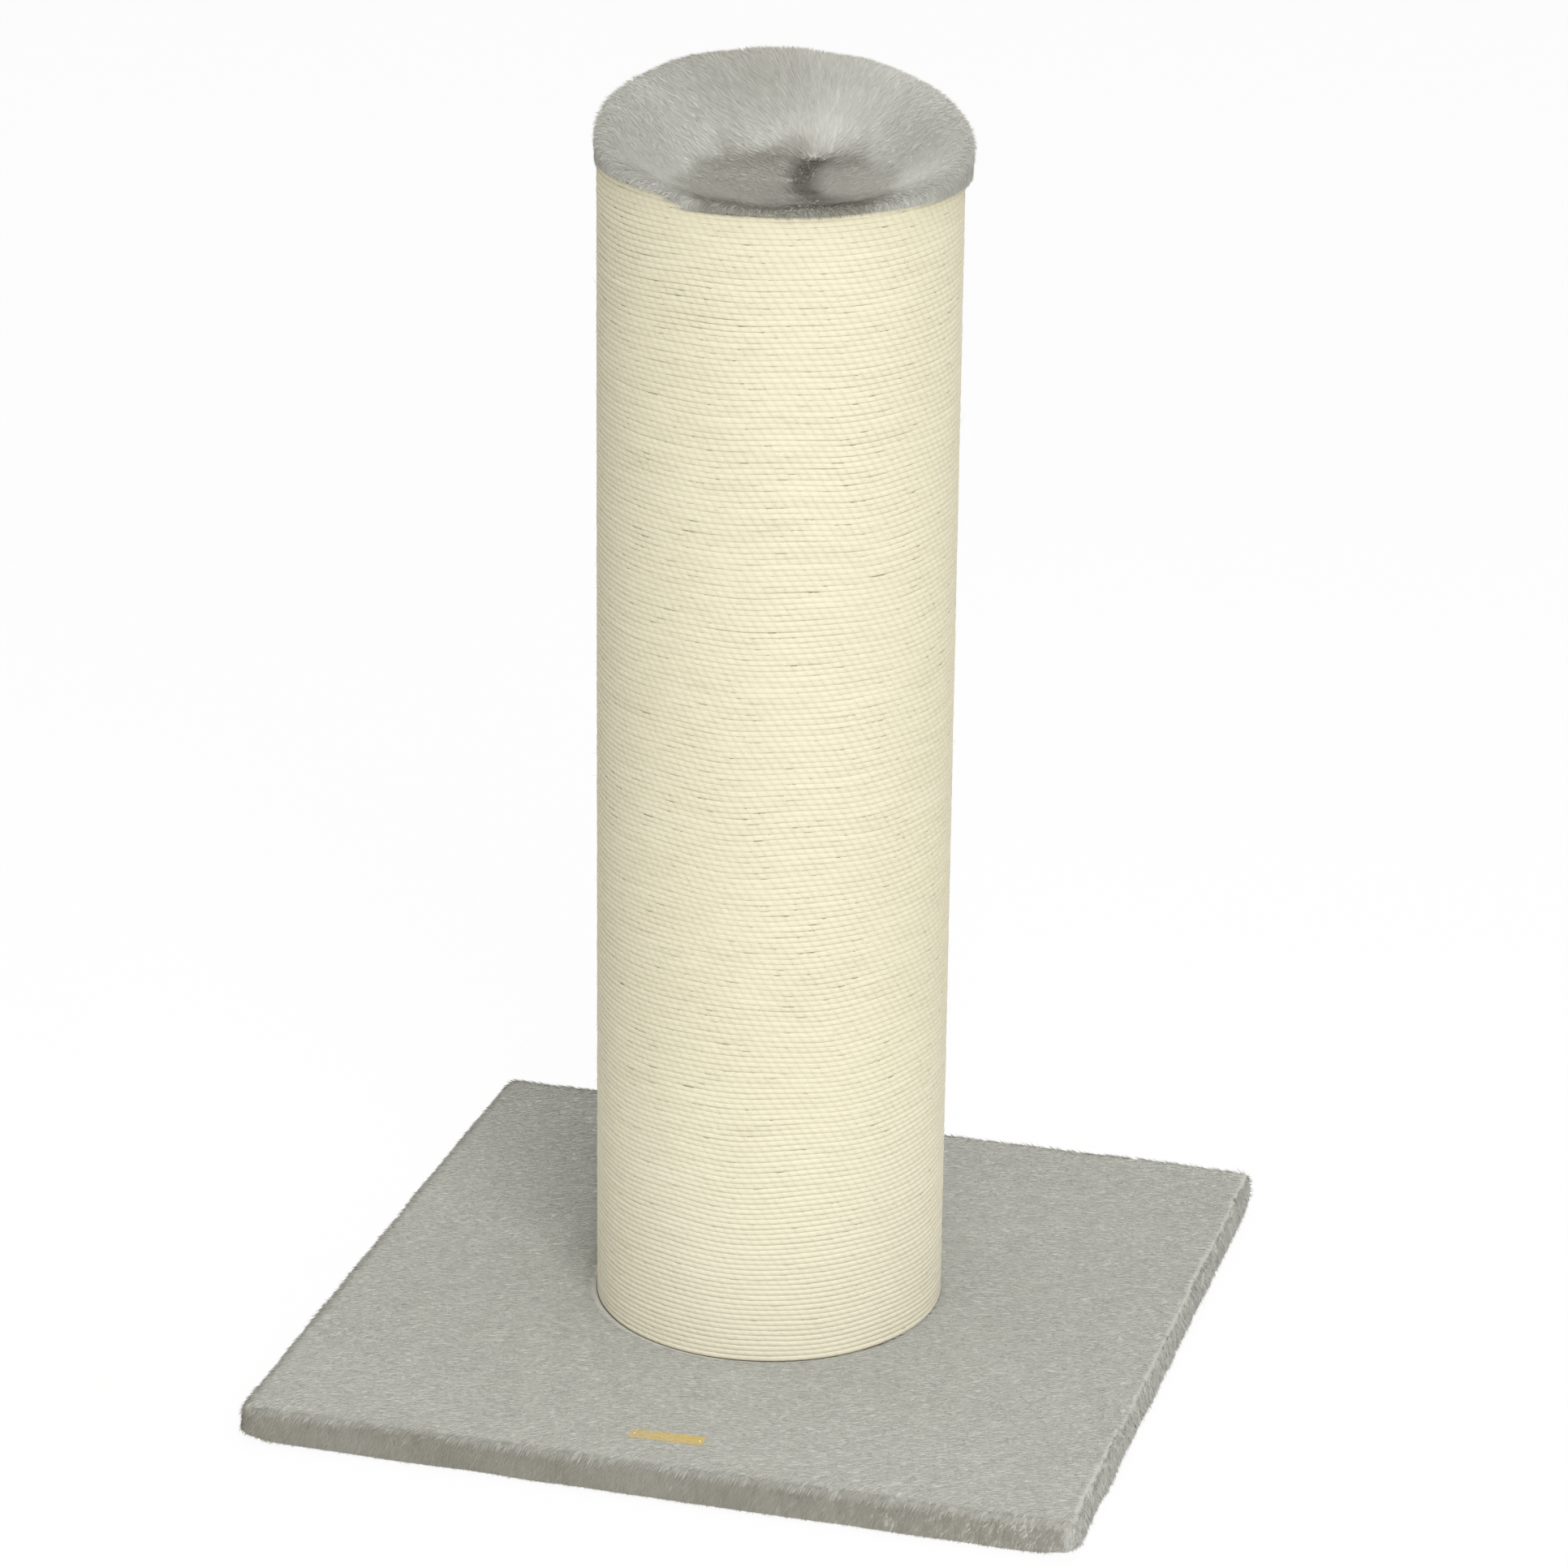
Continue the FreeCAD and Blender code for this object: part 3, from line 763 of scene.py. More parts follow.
def cover_rows():
    """Rows of the base cover from the middle of its top, out over the edge, round the hem and back inside it.
    A top row is a mix of a circle and a rounded square; a side row is a rounded square at a height."""
    core, head = square_ring()
    half, top = float(COVER_HIGH[0]), COVER_TOP
    board_half, board_top, board_low = float(BOARD_HIGH[0]), float(BOARD_HIGH[2]), float(BOARD_LOW[2])
    hem_low, corner, arris = float(COVER_LOW[2]), 8.5 * MM, 6.0 * MM

    def square(inset, height, radius=None):
        radius = np.maximum(corner - inset, 1.5 * MM) if radius is None else radius
        inset, height, radius = (np.broadcast_to(values, len(core))[:, None] for values in (inset, height, radius))
        return np.concatenate([core * (half - inset - radius) + head * radius, height], axis=1)

    rim = square(arris, top)
    heading = unit(rim[:, :2])

    def between(share, radius, height):
        flat = heading * radius * (1 - share) + rim[:, :2] * share
        return np.concatenate([flat, np.full((len(flat), 1), height)], axis=1)

    pressed = board_top + 1.45 * MM
    foot = COLUMN_RADIUS + 0.1 * MM
    rows = [between(0, radius, pressed) for radius in (0.03, 0.07, 0.11, foot - 2 * MM)]
    rows += [between(0, foot, pressed + 0.2 * MM), between(0, foot + 0.3 * MM, top - 1.2 * MM),
             between(0, foot + 1.2 * MM, top - 0.4 * MM)]
    rows += [between(share, foot + 4 * MM, top) for share in np.linspace(0, 1, 34)]
    angles = np.linspace(0, np.pi / 2, 7)[1:]
    rows += [square(arris * (1 - np.sin(a)), top - arris * (1 - np.cos(a))) for a in angles]
    near_corner = ease(np.abs(core).min(axis=1), 0.93, 1.0)
    fold = (2.5 + 7.5 * near_corner) * MM
    side_low = hem_low + fold
    rows += [square(0, (top - arris) * (1 - share) + side_low * share) for share in np.linspace(0, 1, 7)[1:]]
    rows += [square(fold * (1 - np.cos(a)), side_low - fold * np.sin(a)) for a in angles]
    outer = len(rows)
    rows += [square(HEM, hem_low + 0.1 * MM, 1.5 * MM), square(HEM + 0.4 * MM, board_low - 0.15 * MM, 1.5 * MM)]
    rim_inset = half - board_half - 0.1 * MM
    rows += [square(rim_inset, board_low - 0.1 * MM, 4 * MM), square(rim_inset, board_top + 0.1 * MM, 4 * MM),
             between(0, 0.2, board_top + 0.1 * MM)]
    return np.stack(rows), outer


def cover_surface():
    """The rows with the top's gentle unevenness and the sides' slight swell added."""
    rows, outer = cover_rows()
    top, shown = COVER_TOP, rows[:outer]
    x, y, z = shown[..., 0], shown[..., 1], shown[..., 2]
    reach = np.hypot(x, y)
    lies = ease(z, top - 8 * MM, top) * ease(reach, COLUMN_RADIUS + 6 * MM, COLUMN_RADIUS + 40 * MM)
    shown[..., 2] += waves(x, y, 0.16, 21) * 0.35 * MM * lies
    level = np.where(np.abs(x) > np.abs(y), y, x)
    swell = waves(level, z * 2 + 3 * np.sign(x) + 5 * np.sign(y), 0.07, 22) * 0.5 * MM
    side = 1 - ease(z, top - 6 * MM, top)
    shown[..., :2] += unit(shown[..., :2]) * (swell * side)[..., None]
    return rows, outer


def comb_heading(x, y, plush):
    """Azimuth in which the base's pile lies: the comb's own, swayed by a smooth field."""
    return plush.comb_azimuth + waves(x, y, 0.30, 31) * 0.09 + waves(x, y, 0.07, 32) * 0.02


def side_shade(place, normal, plush):
    """Painted shade on the cover's sides: full where the cloth's comb runs over the edge and down, little where
    it runs up, none from the comb on top, and a band along the top arris, where the lamps catch it, which also
    gives the whole top a little."""
    facing = unit(normal * [1, 1, 0] + 1e-9)
    forward = (facing * direction(plush.comb_azimuth)).sum(-1)
    low = 1 - ease(place[..., 2], COVER_TOP - 3.5 * MM, COVER_TOP - 0.2 * MM)
    # Painted shade along the top arris, where the lamps catch the hair.
    arris = np.exp(-((place[..., 2] - COVER_TOP + 1.5 * MM) / (2 * MM)) ** 2)
    return np.clip(low * (0.05 + 0.95 * ease(forward, 0.0, 0.8)) + 0.3 * arris, 0, 1)


def build_base_cover(plush, backing, locks):
    """The cover with its nap map, along and across the comb on top and down and round on the sides, and its
    pile."""
    rows, outer = cover_surface()
    points, quads, fans = closed_grid(rows)
    ring = joined(rows)
    comb = direction(plush.comb_azimuth)
    around = np.concatenate([[0], np.cumsum(np.linalg.norm(np.diff(ring[outer - 6], axis=0), axis=1))])
    side = (ring[..., 2] < COVER_TOP - 2.5 * MM) & (np.arange(len(rows))[:, None] > outer // 2)
    u = np.where(side, -ring[..., 2], ring @ comb)
    v = np.where(side, around[None], ring @ np.cross(UP, comb))
    # Painted shade on the cover's backing: from side_shade, and 0.3 on the rows round the column's foot and at both
    # poles.
    shade = side_shade(rows, rows * [1, 1, 0], plush)
    shade[:7] = 0.3
    cover = new_piece("base_cover", points, [quads, fans], backing,
                      uvs={"Nap": grid_loop_uv(u, v, fans.size)},
                      values={"shade": np.append(shade.ravel(), [0.3, 0.3])})
    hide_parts("base_plush")
    surface = rows[6:outer - 2]
    flat = ((surface[:-1] + surface[1:]) / 2)[..., 2] > COVER_TOP - 1.4 * MM
    base_top_pile(surface, flat, plush, locks)
    base_side_pile(surface, ~flat, plush, locks)


def base_top_pile(surface, flat, plush, locks):
    """Hair on the top lies one way, and turns over the front edge."""
    place, normal, _ = scatter(surface, plush.base_hairs, 41, weight=flat)
    rng = np.random.default_rng(42)
    heading = comb_heading(place[:, 0], place[:, 1], plush) + rng.normal(0, 0.07, len(place))
    from_front, from_left = COVER_HIGH[1] + place[:, 1], COVER_HIGH[0] + place[:, 0]
    over = 0.75 * (1 - ease(from_front, 6 * MM, 34 * MM))
    lie = unit(direction(heading) * (1 - over)[:, None] + np.array([0, -1, 0]) * over[:, None])
    rise = np.radians(rng.normal(10, 1.2, len(place)))[:, None]
    heads = raised(normal, laid_on(normal, lie), rise)
    length = plush.pile_length * rng.uniform(0.85, 1.15, len(place))
    width = plush.hair_width * rng.uniform(0.7, 1.3, len(place))
    # Painted shade on the top's locks near the front and left edges, where they hang over the darker sides.
    shade = 0.5 * (1 - ease(np.minimum(from_front, from_left), 3 * MM, 12 * MM))
    comb = direction(plush.comb_azimuth)
    tuft_width, tuft_run = 2.0 * MM, 15 * MM
    tone = tufts(place @ np.cross(UP, comb) / tuft_width, place @ comb / tuft_run, 46)
    pile("base_top_pile", 5, 50, locks, place, normal, heads, width, length, shade, tone)


def base_side_pile(surface, edges, plush, locks):
    """Hair on the arris and the sides follows the cloth's own comb, bent down by its weight, and ends over
    the floor, higher at the rounded corners."""
    place, normal, _ = scatter(surface, plush.side_hairs, 43, weight=edges)
    rng = np.random.default_rng(44)
    facing = unit(normal * [1, 1, 0])
    comb = direction(plush.comb_azimuth)
    forward = (comb * facing).sum(-1, keepdims=True)
    folded = comb - facing * forward - UP * forward
    lie = laid_on(normal, unit(folded - 0.9 * UP))
    x, y, z = place.T
    stray = rng.normal(0, 0.20, len(place)) + waves(x + y, z * 3, 0.02, 45) * 0.25
    rise = np.radians(rng.normal(18, 8, len(place)).clip(4, 42))[:, None]
    heads = raised(normal, unit(lie + np.cross(normal, lie) * stray[:, None]), rise)
    length = plush.pile_length * rng.uniform(0.6, 1.05, len(place))
    near_corner = ease(np.abs(place[:, :2]).min(axis=1) / COVER_HIGH[0], 0.93, 0.99)
    room = (z - (1.8 + 3.5 * near_corner) * MM) / np.maximum(-heads[:, 2], 0.2)
    length = kept_short(length, room, heads[:, 2] < 0)
    width = plush.hair_width * rng.uniform(0.7, 1.3, len(place))
    tuft_width, tuft_run = 1.8 * MM, 11 * MM
    tone = tufts((x + y) / tuft_width, z / tuft_run, 47)
    # Painted light: locks on the right (+x) side are painted lighter below the top edge.
    tone = tone + 0.8 * facing[:, 0].clip(0, 1) * (1 - ease(z, COVER_TOP - 5 * MM, COVER_TOP))
    # Painted shade on the side locks, from side_shade.
    shade = side_shade(place, normal, plush)
    pile("base_side_pile", 1, 55, locks, place, normal, heads, width, length, shade, tone)


# ---- Bowl ----
# Line on the bowl's floor from which the hair lies away, from its back end to its front one.
PARTING = np.array([[8, 53, 0], [9, 25, 0], [15, -5, 0], [26, -38, 0], [38, -61, 0]]) * MM


def crest_height(azimuth):
    """Height of the rim's crest: its mean, plus a cosine of the azimuth from the high side, a small one of
    twice that, and a small one from the left."""
    angle = azimuth - RIM_AZIMUTH
    left = azimuth - math.radians(190)
    return (895.4 + 24.9 * np.cos(angle) + 1.4 * np.cos(2 * angle) + 1.0 * np.cos(left)) * MM


def tube_rim(azimuth, radius):
    """Height of the tube's slanted rim at a radius."""
    slant = (TUBE_HIGH[2] - RIM_MIDDLE) / TUBE_RADIUS
    return RIM_MIDDLE + slant * radius * np.cos(azimuth - SLANT_AZIMUTH)


def skirt_foot(azimuth):
    """Height of the plush's lower edge: level in front, lower on the right, and lifted on the left by the
    rope's doubled end. Straight lines between azimuths."""
    places = np.radians([-260, -215, -190, -165, -151, -137, -127, -115, -111, -107.5, -104.3, -97, -82, -66, -45, -22,
                         0, 30, 60, 100])
    heights = np.array([866.5, 868.0, 870.0, 871.0, 874.3, 876.4, 876.3, 876.2, 874.4, 871.2, 867.6, 868.0, 868.4,
                        867.6, 868.4, 866.8, 865.2, 864.2, 865.0, 866.5]) * MM
    first = math.radians(260)
    return np.interp((azimuth + first) % (2 * np.pi) - first, places, heights)


def bowl_rows(columns=300):
    """Rows of the bowl's lining from the middle of its floor, up the wall, over the rim and down outside it,
    and back inside past the rope, over the tube's edge and the foam. Each column is a line of control points,
    rounded off."""
    azimuth = np.linspace(-np.pi, np.pi, columns, endpoint=False)
    crest = crest_height(azimuth)
    rise = crest - BOWL_FLOOR
    foot = skirt_foot(azimuth)
    bulge = (128.2 + 2.0 * np.cos(azimuth - RIGHT_AZIMUTH)) * MM
    low = ease(-np.cos(azimuth - RIM_AZIMUTH), 0.2, 0.95)
    line = [(r * MM, BOWL_FLOOR + (steep + (gentle - steep) * low) * rise)
            for r, steep, gentle in ((2, 0.0, 0.0), (20, 0.0, 0.02), (38, 0.0, 0.12), (56, 0.01, 0.27),
                                     (70, 0.09, 0.42), (84, 0.30, 0.58), (96.5, 0.58, 0.72), (106.5, 0.83, 0.85),
                                     (113, 0.965, 0.93))]
    line += [(120.5 * MM, crest + (0.5 - 0.5 * low) * MM), (bulge - 1.6 * MM, crest - (1.0 - 0.4 * low) * MM),
             (bulge, 0.75 * crest + 0.25 * foot - 2.2 * MM * (1 - 0.6 * low)), (bulge, 0.35 * crest + 0.65 * foot),
             (bulge - 0.4 * MM, foot + 0.9 * MM), (bulge - 1.3 * MM, foot)]
    outline = round_off(outline_of(line, columns), 3)
    outer = len(outline)
    rope_top = np.maximum(foot, ROPE_END) + 2.2 * MM
    rim, lip = tube_rim(azimuth, TUBE_RADIUS), tube_rim(azimuth, FOAM_RADIUS)
    rope_top = np.minimum(rope_top, crest - 2 * MM)
    inside = [(COLUMN_RADIUS + 0.4 * MM, foot + 0.2 * MM), (COLUMN_RADIUS + 0.4 * MM, rope_top),
              (TUBE_RADIUS + 0.2 * MM, rope_top), (TUBE_RADIUS + 0.2 * MM, rim + 0.15 * MM),
              (FOAM_RADIUS, lip + 0.15 * MM), (FOAM_RADIUS - 3 * MM, BOWL_FLOOR + 0.74 * rise - 3.4 * MM),
              (98 * MM, BOWL_FLOOR + 0.48 * rise - 3.4 * MM), (84 * MM, BOWL_FLOOR + 0.2 * rise - 3.4 * MM),
              (62 * MM, BOWL_FLOOR - 3.2 * MM), (20 * MM, BOWL_FLOOR - 3.4 * MM)]
    outline = np.concatenate([outline, outline_of(inside, columns)])
    return turned(outline, azimuth), outer, azimuth


def nearest_parting(place):
    """Nearest point of the parting, and how far off it is."""
    flat = place * [1, 1, 0]
    point, gap = None, None
    for start, end in zip(PARTING[:-1], PARTING[1:]):
        run = end - start
        share = np.clip((flat - start) @ run / (run @ run), 0, 1)
        here = start + share[..., None] * run
        off = np.linalg.norm(flat - here, axis=-1, keepdims=True)
        point = here if gap is None else np.where(off < gap, here, point)
        gap = off if gap is None else np.minimum(gap, off)
    return point, gap[..., 0]


def floor_shade(x, y):
    """Painted shade in the bowl: how much darker the pile is painted, half inside a soft-edged oval that reaches
    the low front of the rim, more along the parting and less beside it, more towards the oval's back and on
    the rim's lip, and a little up the high wall and outside the rim."""
    right, ahead = direction(RIGHT_AZIMUTH), direction(RIGHT_AZIMUTH + np.pi / 2)
    across = x * right[0] + y * right[1] - 4.5 * MM
    along = x * ahead[0] + y * ahead[1] + 25 * MM
    oval = np.hypot(along / np.where(along > 0, 1.39, 3.0), across) + waves(x, y, 0.05, 61) * 2.5 * MM
    disc = 1 - ease(oval, 60 * MM, 80 * MM)
    place = np.stack([x, y, np.zeros_like(x)], axis=-1)
    parting = np.exp(-(nearest_parting(place)[1] / (5 * MM)) ** 2) * 0.26
    beside = np.exp(-(nearest_parting(place + [0.011, 0.003, 0])[1] / (6 * MM)) ** 2) * 0.1
    lip = ease(np.hypot(x, y), 106 * MM, 120 * MM)
    wall = 0.46 * ease(along - 0.35 * across.clip(0, 1), 80 * MM, 135 * MM)
    far = 0.3 * ease(along, 30 * MM, 78 * MM)
    return np.clip(disc * (0.52 - beside + parting + far + 0.35 * lip) + wall + 0.22 * lip, 0, 1)


def build_bowl(plush, backing, locks, foam):
    """The lining with its nap map, from the middle outwards and round, its pile, and the padding under it."""
    rows, outer, azimuth = bowl_rows()
    shown = rows[:outer]
    x, y = shown[..., 0], shown[..., 1]
    shown[..., 2] += waves(x, y, 0.05, 62) * 0.4 * MM
    gap = nearest_parting(shown)[1]
    shown[..., 2] -= np.exp(-(gap / (7 * MM)) ** 2) * 0.8 * MM
    points, quads, fans = closed_grid(rows, first=rows[0, :, 2].mean())
    ring = joined(rows)
    run = np.linalg.norm(np.diff(ring, axis=0), axis=-1)
    u = 8 * MM + np.concatenate([np.zeros((1, len(azimuth) + 1)), np.cumsum(run, axis=0)])
    v = np.broadcast_to(np.append(azimuth, np.pi) * 0.09, u.shape)
    shade = np.zeros(rows.shape[:2])
    # Painted shade on the lining: the bowl's painted shade, more along the parting, and 0.9 at the floor's pole.
    shade[:outer] = floor_shade(x, y) + 0.3 * np.exp(-(gap / (6 * MM)) ** 2)
    lining = new_piece("bowl_lining", points, [quads, fans], backing,
                       uvs={"Nap": grid_loop_uv(u, v, fans.size)},
                       values={"shade": np.append(shade.ravel(), [0.9, 0.0])})
    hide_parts("bowl_plush")
    bowl_pile(shown, plush, locks)
    build_padding(foam)


def bowl_pile(surface, plush, locks):
    """Hair lies away from the parting, outwards up the wall, over the rim and down outside, and ends at the
    skirt's edge. Along the parting it stands up more and lies along it."""
    place, normal, run = scatter(surface, plush.bowl_hairs, 71)
    rng = np.random.default_rng(72)
    azimuth, reach = np.arctan2(place[:, 1], place[:, 0]), np.hypot(place[:, 0], place[:, 1])
    stray = 0.14 * rng.normal(0, 1, len(place))
    parting, gap = nearest_parting(place)
    rise = rng.normal(13, 3, len(place)).clip(6, 32) + 18 * np.exp(-(gap / (16 * MM)) ** 2)
    rise = np.radians(rise)[:, None]
    leaves = ease(gap, 0, 16 * MM)[:, None]
    down = ease(reach, COLUMN_RADIUS - 8 * MM, COLUMN_RADIUS - 3 * MM)[:, None]
    lie = unit(place * [1, 1, 0] - parting) * leaves + unit(PARTING[-1] - PARTING[0]) * (1 - leaves)
    lie = laid_on(normal, unit(unit(lie) * (1 - down) + run * down))
    heads = raised(normal, unit(lie + np.cross(normal, lie) * stray[:, None]), rise)
    length = plush.pile_length * rng.uniform(0.7, 1.05, len(place))
    width = plush.hair_width * rng.uniform(0.6, 1.15, len(place))
    room = (place[:, 2] - skirt_foot(azimuth) + 1.2 * MM) / np.maximum(-heads[:, 2], 0.05)
    length = kept_short(length, room, (reach > COLUMN_RADIUS - 2 * MM) & (heads[:, 2] < -0.05))
    # Painted shade on the bowl's locks, from floor_shade.
    shade = floor_shade(place[:, 0], place[:, 1])
    tufts_per_radian, tuft_run = 46, 11 * MM
    tone = tufts(azimuth * tufts_per_radian, reach / tuft_run, 75)
    # Painted light: locks on the bowl's right wall are painted lighter.
    right = ease(place @ direction(RIGHT_AZIMUTH), 40 * MM, 90 * MM)
    tone = tone + 0.9 * right * ease(COLUMN_RADIUS - reach, 0, 8 * MM)
    pile("bowl_pile", 2, 73, locks, place, normal, heads, width, length, shade, tone)


def build_padding(foam, columns=96):
    """Foam under the lining: a level bottom, an upright outside cut at the slant, and the bowl's own shape on
    top."""
    azimuth = np.linspace(0, 2 * np.pi, columns, endpoint=False)
    rise = crest_height(azimuth) - BOWL_FLOOR
    bottom, side = float(FOAM_LOW[2]), FOAM_RADIUS - 0.4 * MM
    line = [(radius, BOWL_FLOOR + share * rise - depth * MM)
            for radius, share, depth in ((0.02, 0, 5), (0.058, 0, 5), (0.074, 0.07, 5), (0.086, 0.22, 5),
                                         (0.098, 0.48, 5.5), (FOAM_RADIUS - 3 * MM, 0.74, 6))]
    line += [(side, tube_rim(azimuth, FOAM_RADIUS) - 1.5 * MM), (side, bottom), (0.02, bottom)]
    outline = outline_of(line, columns)
    points, quads, fans = closed_grid(turned(outline, azimuth))
    padding = new_piece("bowl_padding", points, [quads, fans], foam, smooth=False)
    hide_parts("bowl_foam")


# ---- Small fixings ----
def build_pins(material, sides=14):
    """Two domed pins through the plate's ends, turned from one profile of radii and heights."""
    middle, run, from_middle = (PLATE_LOW + PLATE_HIGH) / 2, direction(PLATE_TURN), 23.5 * MM
    places = np.array([middle * [1, 1, 0] + run * side * from_middle + UP * PLATE_HIGH[2] for side in (-1, 1)])
    dome = [(0.35 * MM, 0.62 * MM), (0.8 * MM, 0.5 * MM), (1.1 * MM, 0.2 * MM), (1.15 * MM, -0.1 * MM)]
    outline = outline_of(dome, sides)
    azimuth = np.linspace(0, 2 * np.pi, sides, endpoint=False)
    one, quads, fans = closed_grid(turned(outline, azimuth))
    new_piece("plate_pins", (places[:, None] + one).reshape(-1, 3),
              repeated([quads, fans], len(places), len(one)), material)


def build_staples(material):
    """Staples along the hem: a flat bar with bevelled ends each, its crown just proud of the plush."""
    inset, corner_gap, each_side = 22 * MM, 40 * MM, 12
    half = float(COVER_HIGH[0]) - inset
    along = np.linspace(-half + corner_gap, half - corner_gap, each_side)
    facing = np.repeat(np.arange(4) * np.pi / 2, len(along))
    rng = np.random.default_rng(91)
    middle = direction(facing) * half + direction(facing + np.pi / 2) * np.tile(along, 4)[:, None]
    turn = facing + np.pi / 2 + rng.normal(0, 0.12, len(facing))
    run, side = direction(turn), direction(turn + np.pi / 2)
    low, high = float(COVER_LOW[2]) - 0.45 * MM, float(COVER_LOW[2]) + 0.4 * MM
    ends = np.array([-6.0, -5.5, 5.5, 6.0]) * MM
    drop = np.array([high - 0.1 * MM, low, low, high - 0.1 * MM])
    width = 0.6 * MM
    section = [(-width, 0.0), (width, 0.0), (width, 1.0), (-width, 1.0)]
    rows = [middle + run * e + side * across + UP * (d * (1 - up) + high * up)[None]
            for e, d in zip(ends, drop[:, None]) for across, up in section]
    points = np.stack(rows, axis=1)
    one = np.concatenate([grid_quads(4, 4), [[0, 1, 2, 3], [15, 14, 13, 12]]])
    new_piece("hem_staples", points.reshape(-1, 3), repeated([one], len(middle), 16), material,
              smooth=False)


# ---- Operators ----
class POST_OT_effects(bpy.types.Operator):
    """Make the node groups that the materials share"""

    bl_idname = "post.effects"
    bl_label = "Shared Effects"

    def execute(self, context):
        pile_streaks_group()
        soft_patches_group()
        laid_rope_group()
        grain_group()
        return {"FINISHED"}


class POST_OT_hardware(bpy.types.Operator):
    """Give the boards, tube, glides and fixings their finishes, and add the pins and staples"""

    bl_idname = "post.hardware"
    bl_label = "Boards and Fixings"

    def execute(self, context):
        chipboard = chipboard_material()
        zinc = metal_material("Zinc Plate", (0.72, 0.73, 0.74), (0.55, 0.56, 0.56), 0.35, 3 * MM)
        brass = metal_material("Brushed Brass", (0.83, 0.66, 0.28), (0.66, 0.50, 0.20), 0.32, 20 * MM)
        felt = speckled_material("Pressed Felt", 1.0 * MM, "Fine", (0.16, 0.145, 0.13), (0.30, 0.28, 0.26),
                                 0.3 * MM, Sheen_Weight=0.2)
        finishes = {"base_board": chipboard, "bottom_plug": chipboard, "bowl_board": chipboard,
                    "column_tube": tube_board_material(), "felt_glides": felt,
                    "column_bolts": zinc, "threaded_inserts": zinc, "name_plate": brass}
        for node, material in finishes.items():
            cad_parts[node].data.materials.clear()
            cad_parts[node].data.materials.append(material)
        build_pins(brass)
        build_staples(zinc)
        return {"FINISHED"}


class POST_OT_rope(bpy.types.Operator):
    """Wind the sisal rope and add its loose fibres"""

    bl_idname = "post.rope"
    bl_label = "Sisal Rope"

    def execute(self, context):
        rope = context.scene.post_rope
        material = sisal_material(rope)
        line = winding_line(rope)
        middle = rope.turns // 2 * rope.steps_per_turn
        lower = rope_piece("rope_lower_turns", rope, material, line, last=middle + 1)
        rope_piece("rope_upper_turns", rope, material, line, first=middle)
        rope_piece("rope_tail", rope, material, tail_line(rope))
        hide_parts("sisal_rope")
        fibres_piece("rope_loose_fibres", rope, fibre_material(rope))
        return {"FINISHED"}


class POST_OT_plush(bpy.types.Operator):
    """Cover the base and line the bowl with combed plush"""

    bl_idname = "post.plush"
    bl_label = "Plush"

    def execute(self, context):
        plush = context.scene.post_plush
        backing, locks = plush_backing_material(plush), plush_hair_material(plush)
        foam = speckled_material("Open Foam", 1.4 * MM, "Cell", (0.80, 0.76, 0.62), (0.66, 0.61, 0.46), 0.5 * MM)
        build_base_cover(plush, backing, locks)
        build_bowl(plush, backing, locks, foam)
        return {"FINISHED"}


def area_lamp(name, place, target, width, height, power):
    """Rectangular lamp at a place, turned to a target."""
    light = bpy.data.lights.new(name, "AREA")
    light.shape, light.size, light.size_y, light.energy = "RECTANGLE", width, height, power
    lamp = bpy.data.objects.new(name, light)
    lamp.location = place
    lamp.rotation_euler = (Vector(target) - Vector(place)).to_track_quat("-Z", "Y").to_euler()
    bpy.context.scene.collection.objects.link(lamp)


class POST_OT_stage(bpy.types.Operator):
    """Lay the pale floor, hang the lamps and place the camera"""

    bl_idname = "post.stage"
    bl_label = "Stage"

    def execute(self, context):
        scene, stage = context.scene, context.scene.post_stage
        mesh, reach = bpy.data.meshes.new("floor"), 9.0
        corners = [(-reach, -reach, 0), (reach, -reach, 0), (reach, reach, 0), (-reach, reach, 0)]
        mesh.from_pydata(corners, [], [(0, 1, 2, 3)])
        floor = bpy.data.objects.new("floor", mesh)
        scene.collection.objects.link(floor)
        material, tree = new_material("Pale Floor", Base_Color=(*stage.floor_colour, 1), Roughness=0.9,
                                      Specular_IOR_Level=0.1)
        path = tree.nodes.new("ShaderNodeLightPath").outputs
        seen = times(tree, path["Is Camera Ray"], 0.94)
        glow = put(tree, "ShaderNodeEmission", {"Color": (1, 1, 1, 1), "Strength": 1.0}).outputs[0]
        lit = tree.nodes["Principled BSDF"].outputs[0]
        shown = put(tree, "ShaderNodeMixShader", {0: seen, 1: lit, 2: glow}).outputs[0]
        tree.links.new(shown, tree.nodes["Material Output"].inputs["Surface"])
        mesh.materials.append(material)

        world = bpy.data.worlds.new("Studio")
        world.use_nodes = True
        tree = world.node_tree
        sky = tree.nodes["Background"]
        sky.inputs["Color"].default_value = (1.0, 0.99, 0.97, 1)
        sky.inputs["Strength"].default_value = stage.sky
        white = put(tree, "ShaderNodeBackground", {"Color": (1, 1, 1, 1), "Strength": 1.0}).outputs[0]
        path = tree.nodes.new("ShaderNodeLightPath").outputs
        seen = maths(tree, "MAXIMUM", path["Is Camera Ray"],
                     maths(tree, "MAXIMUM", path["Is Glossy Ray"], path["Is Transmission Ray"]))
        shown = put(tree, "ShaderNodeMixShader", {0: seen, 1: sky.outputs[0], 2: white}).outputs[0]
        tree.links.new(shown, tree.nodes["World Output"].inputs["Surface"])
        scene.world = world

        area_lamp("key_lamp", (2.65, -4.95, 4.2), (0, 0, 0.45), 3.2, 3.2, stage.key)
        area_lamp("fill_lamp", (0.55, -1.5, 0.3), (0, 0, 0.05), 0.9, 0.5, stage.fill)
        area_lamp("top_lamp", (0.1, 0.1, 3.4), (0, 0, 0), 2.2, 2.2, stage.top)
        scene.view_settings.view_transform = "Standard"
        place_camera(scene, stage)
        return {"FINISHED"}


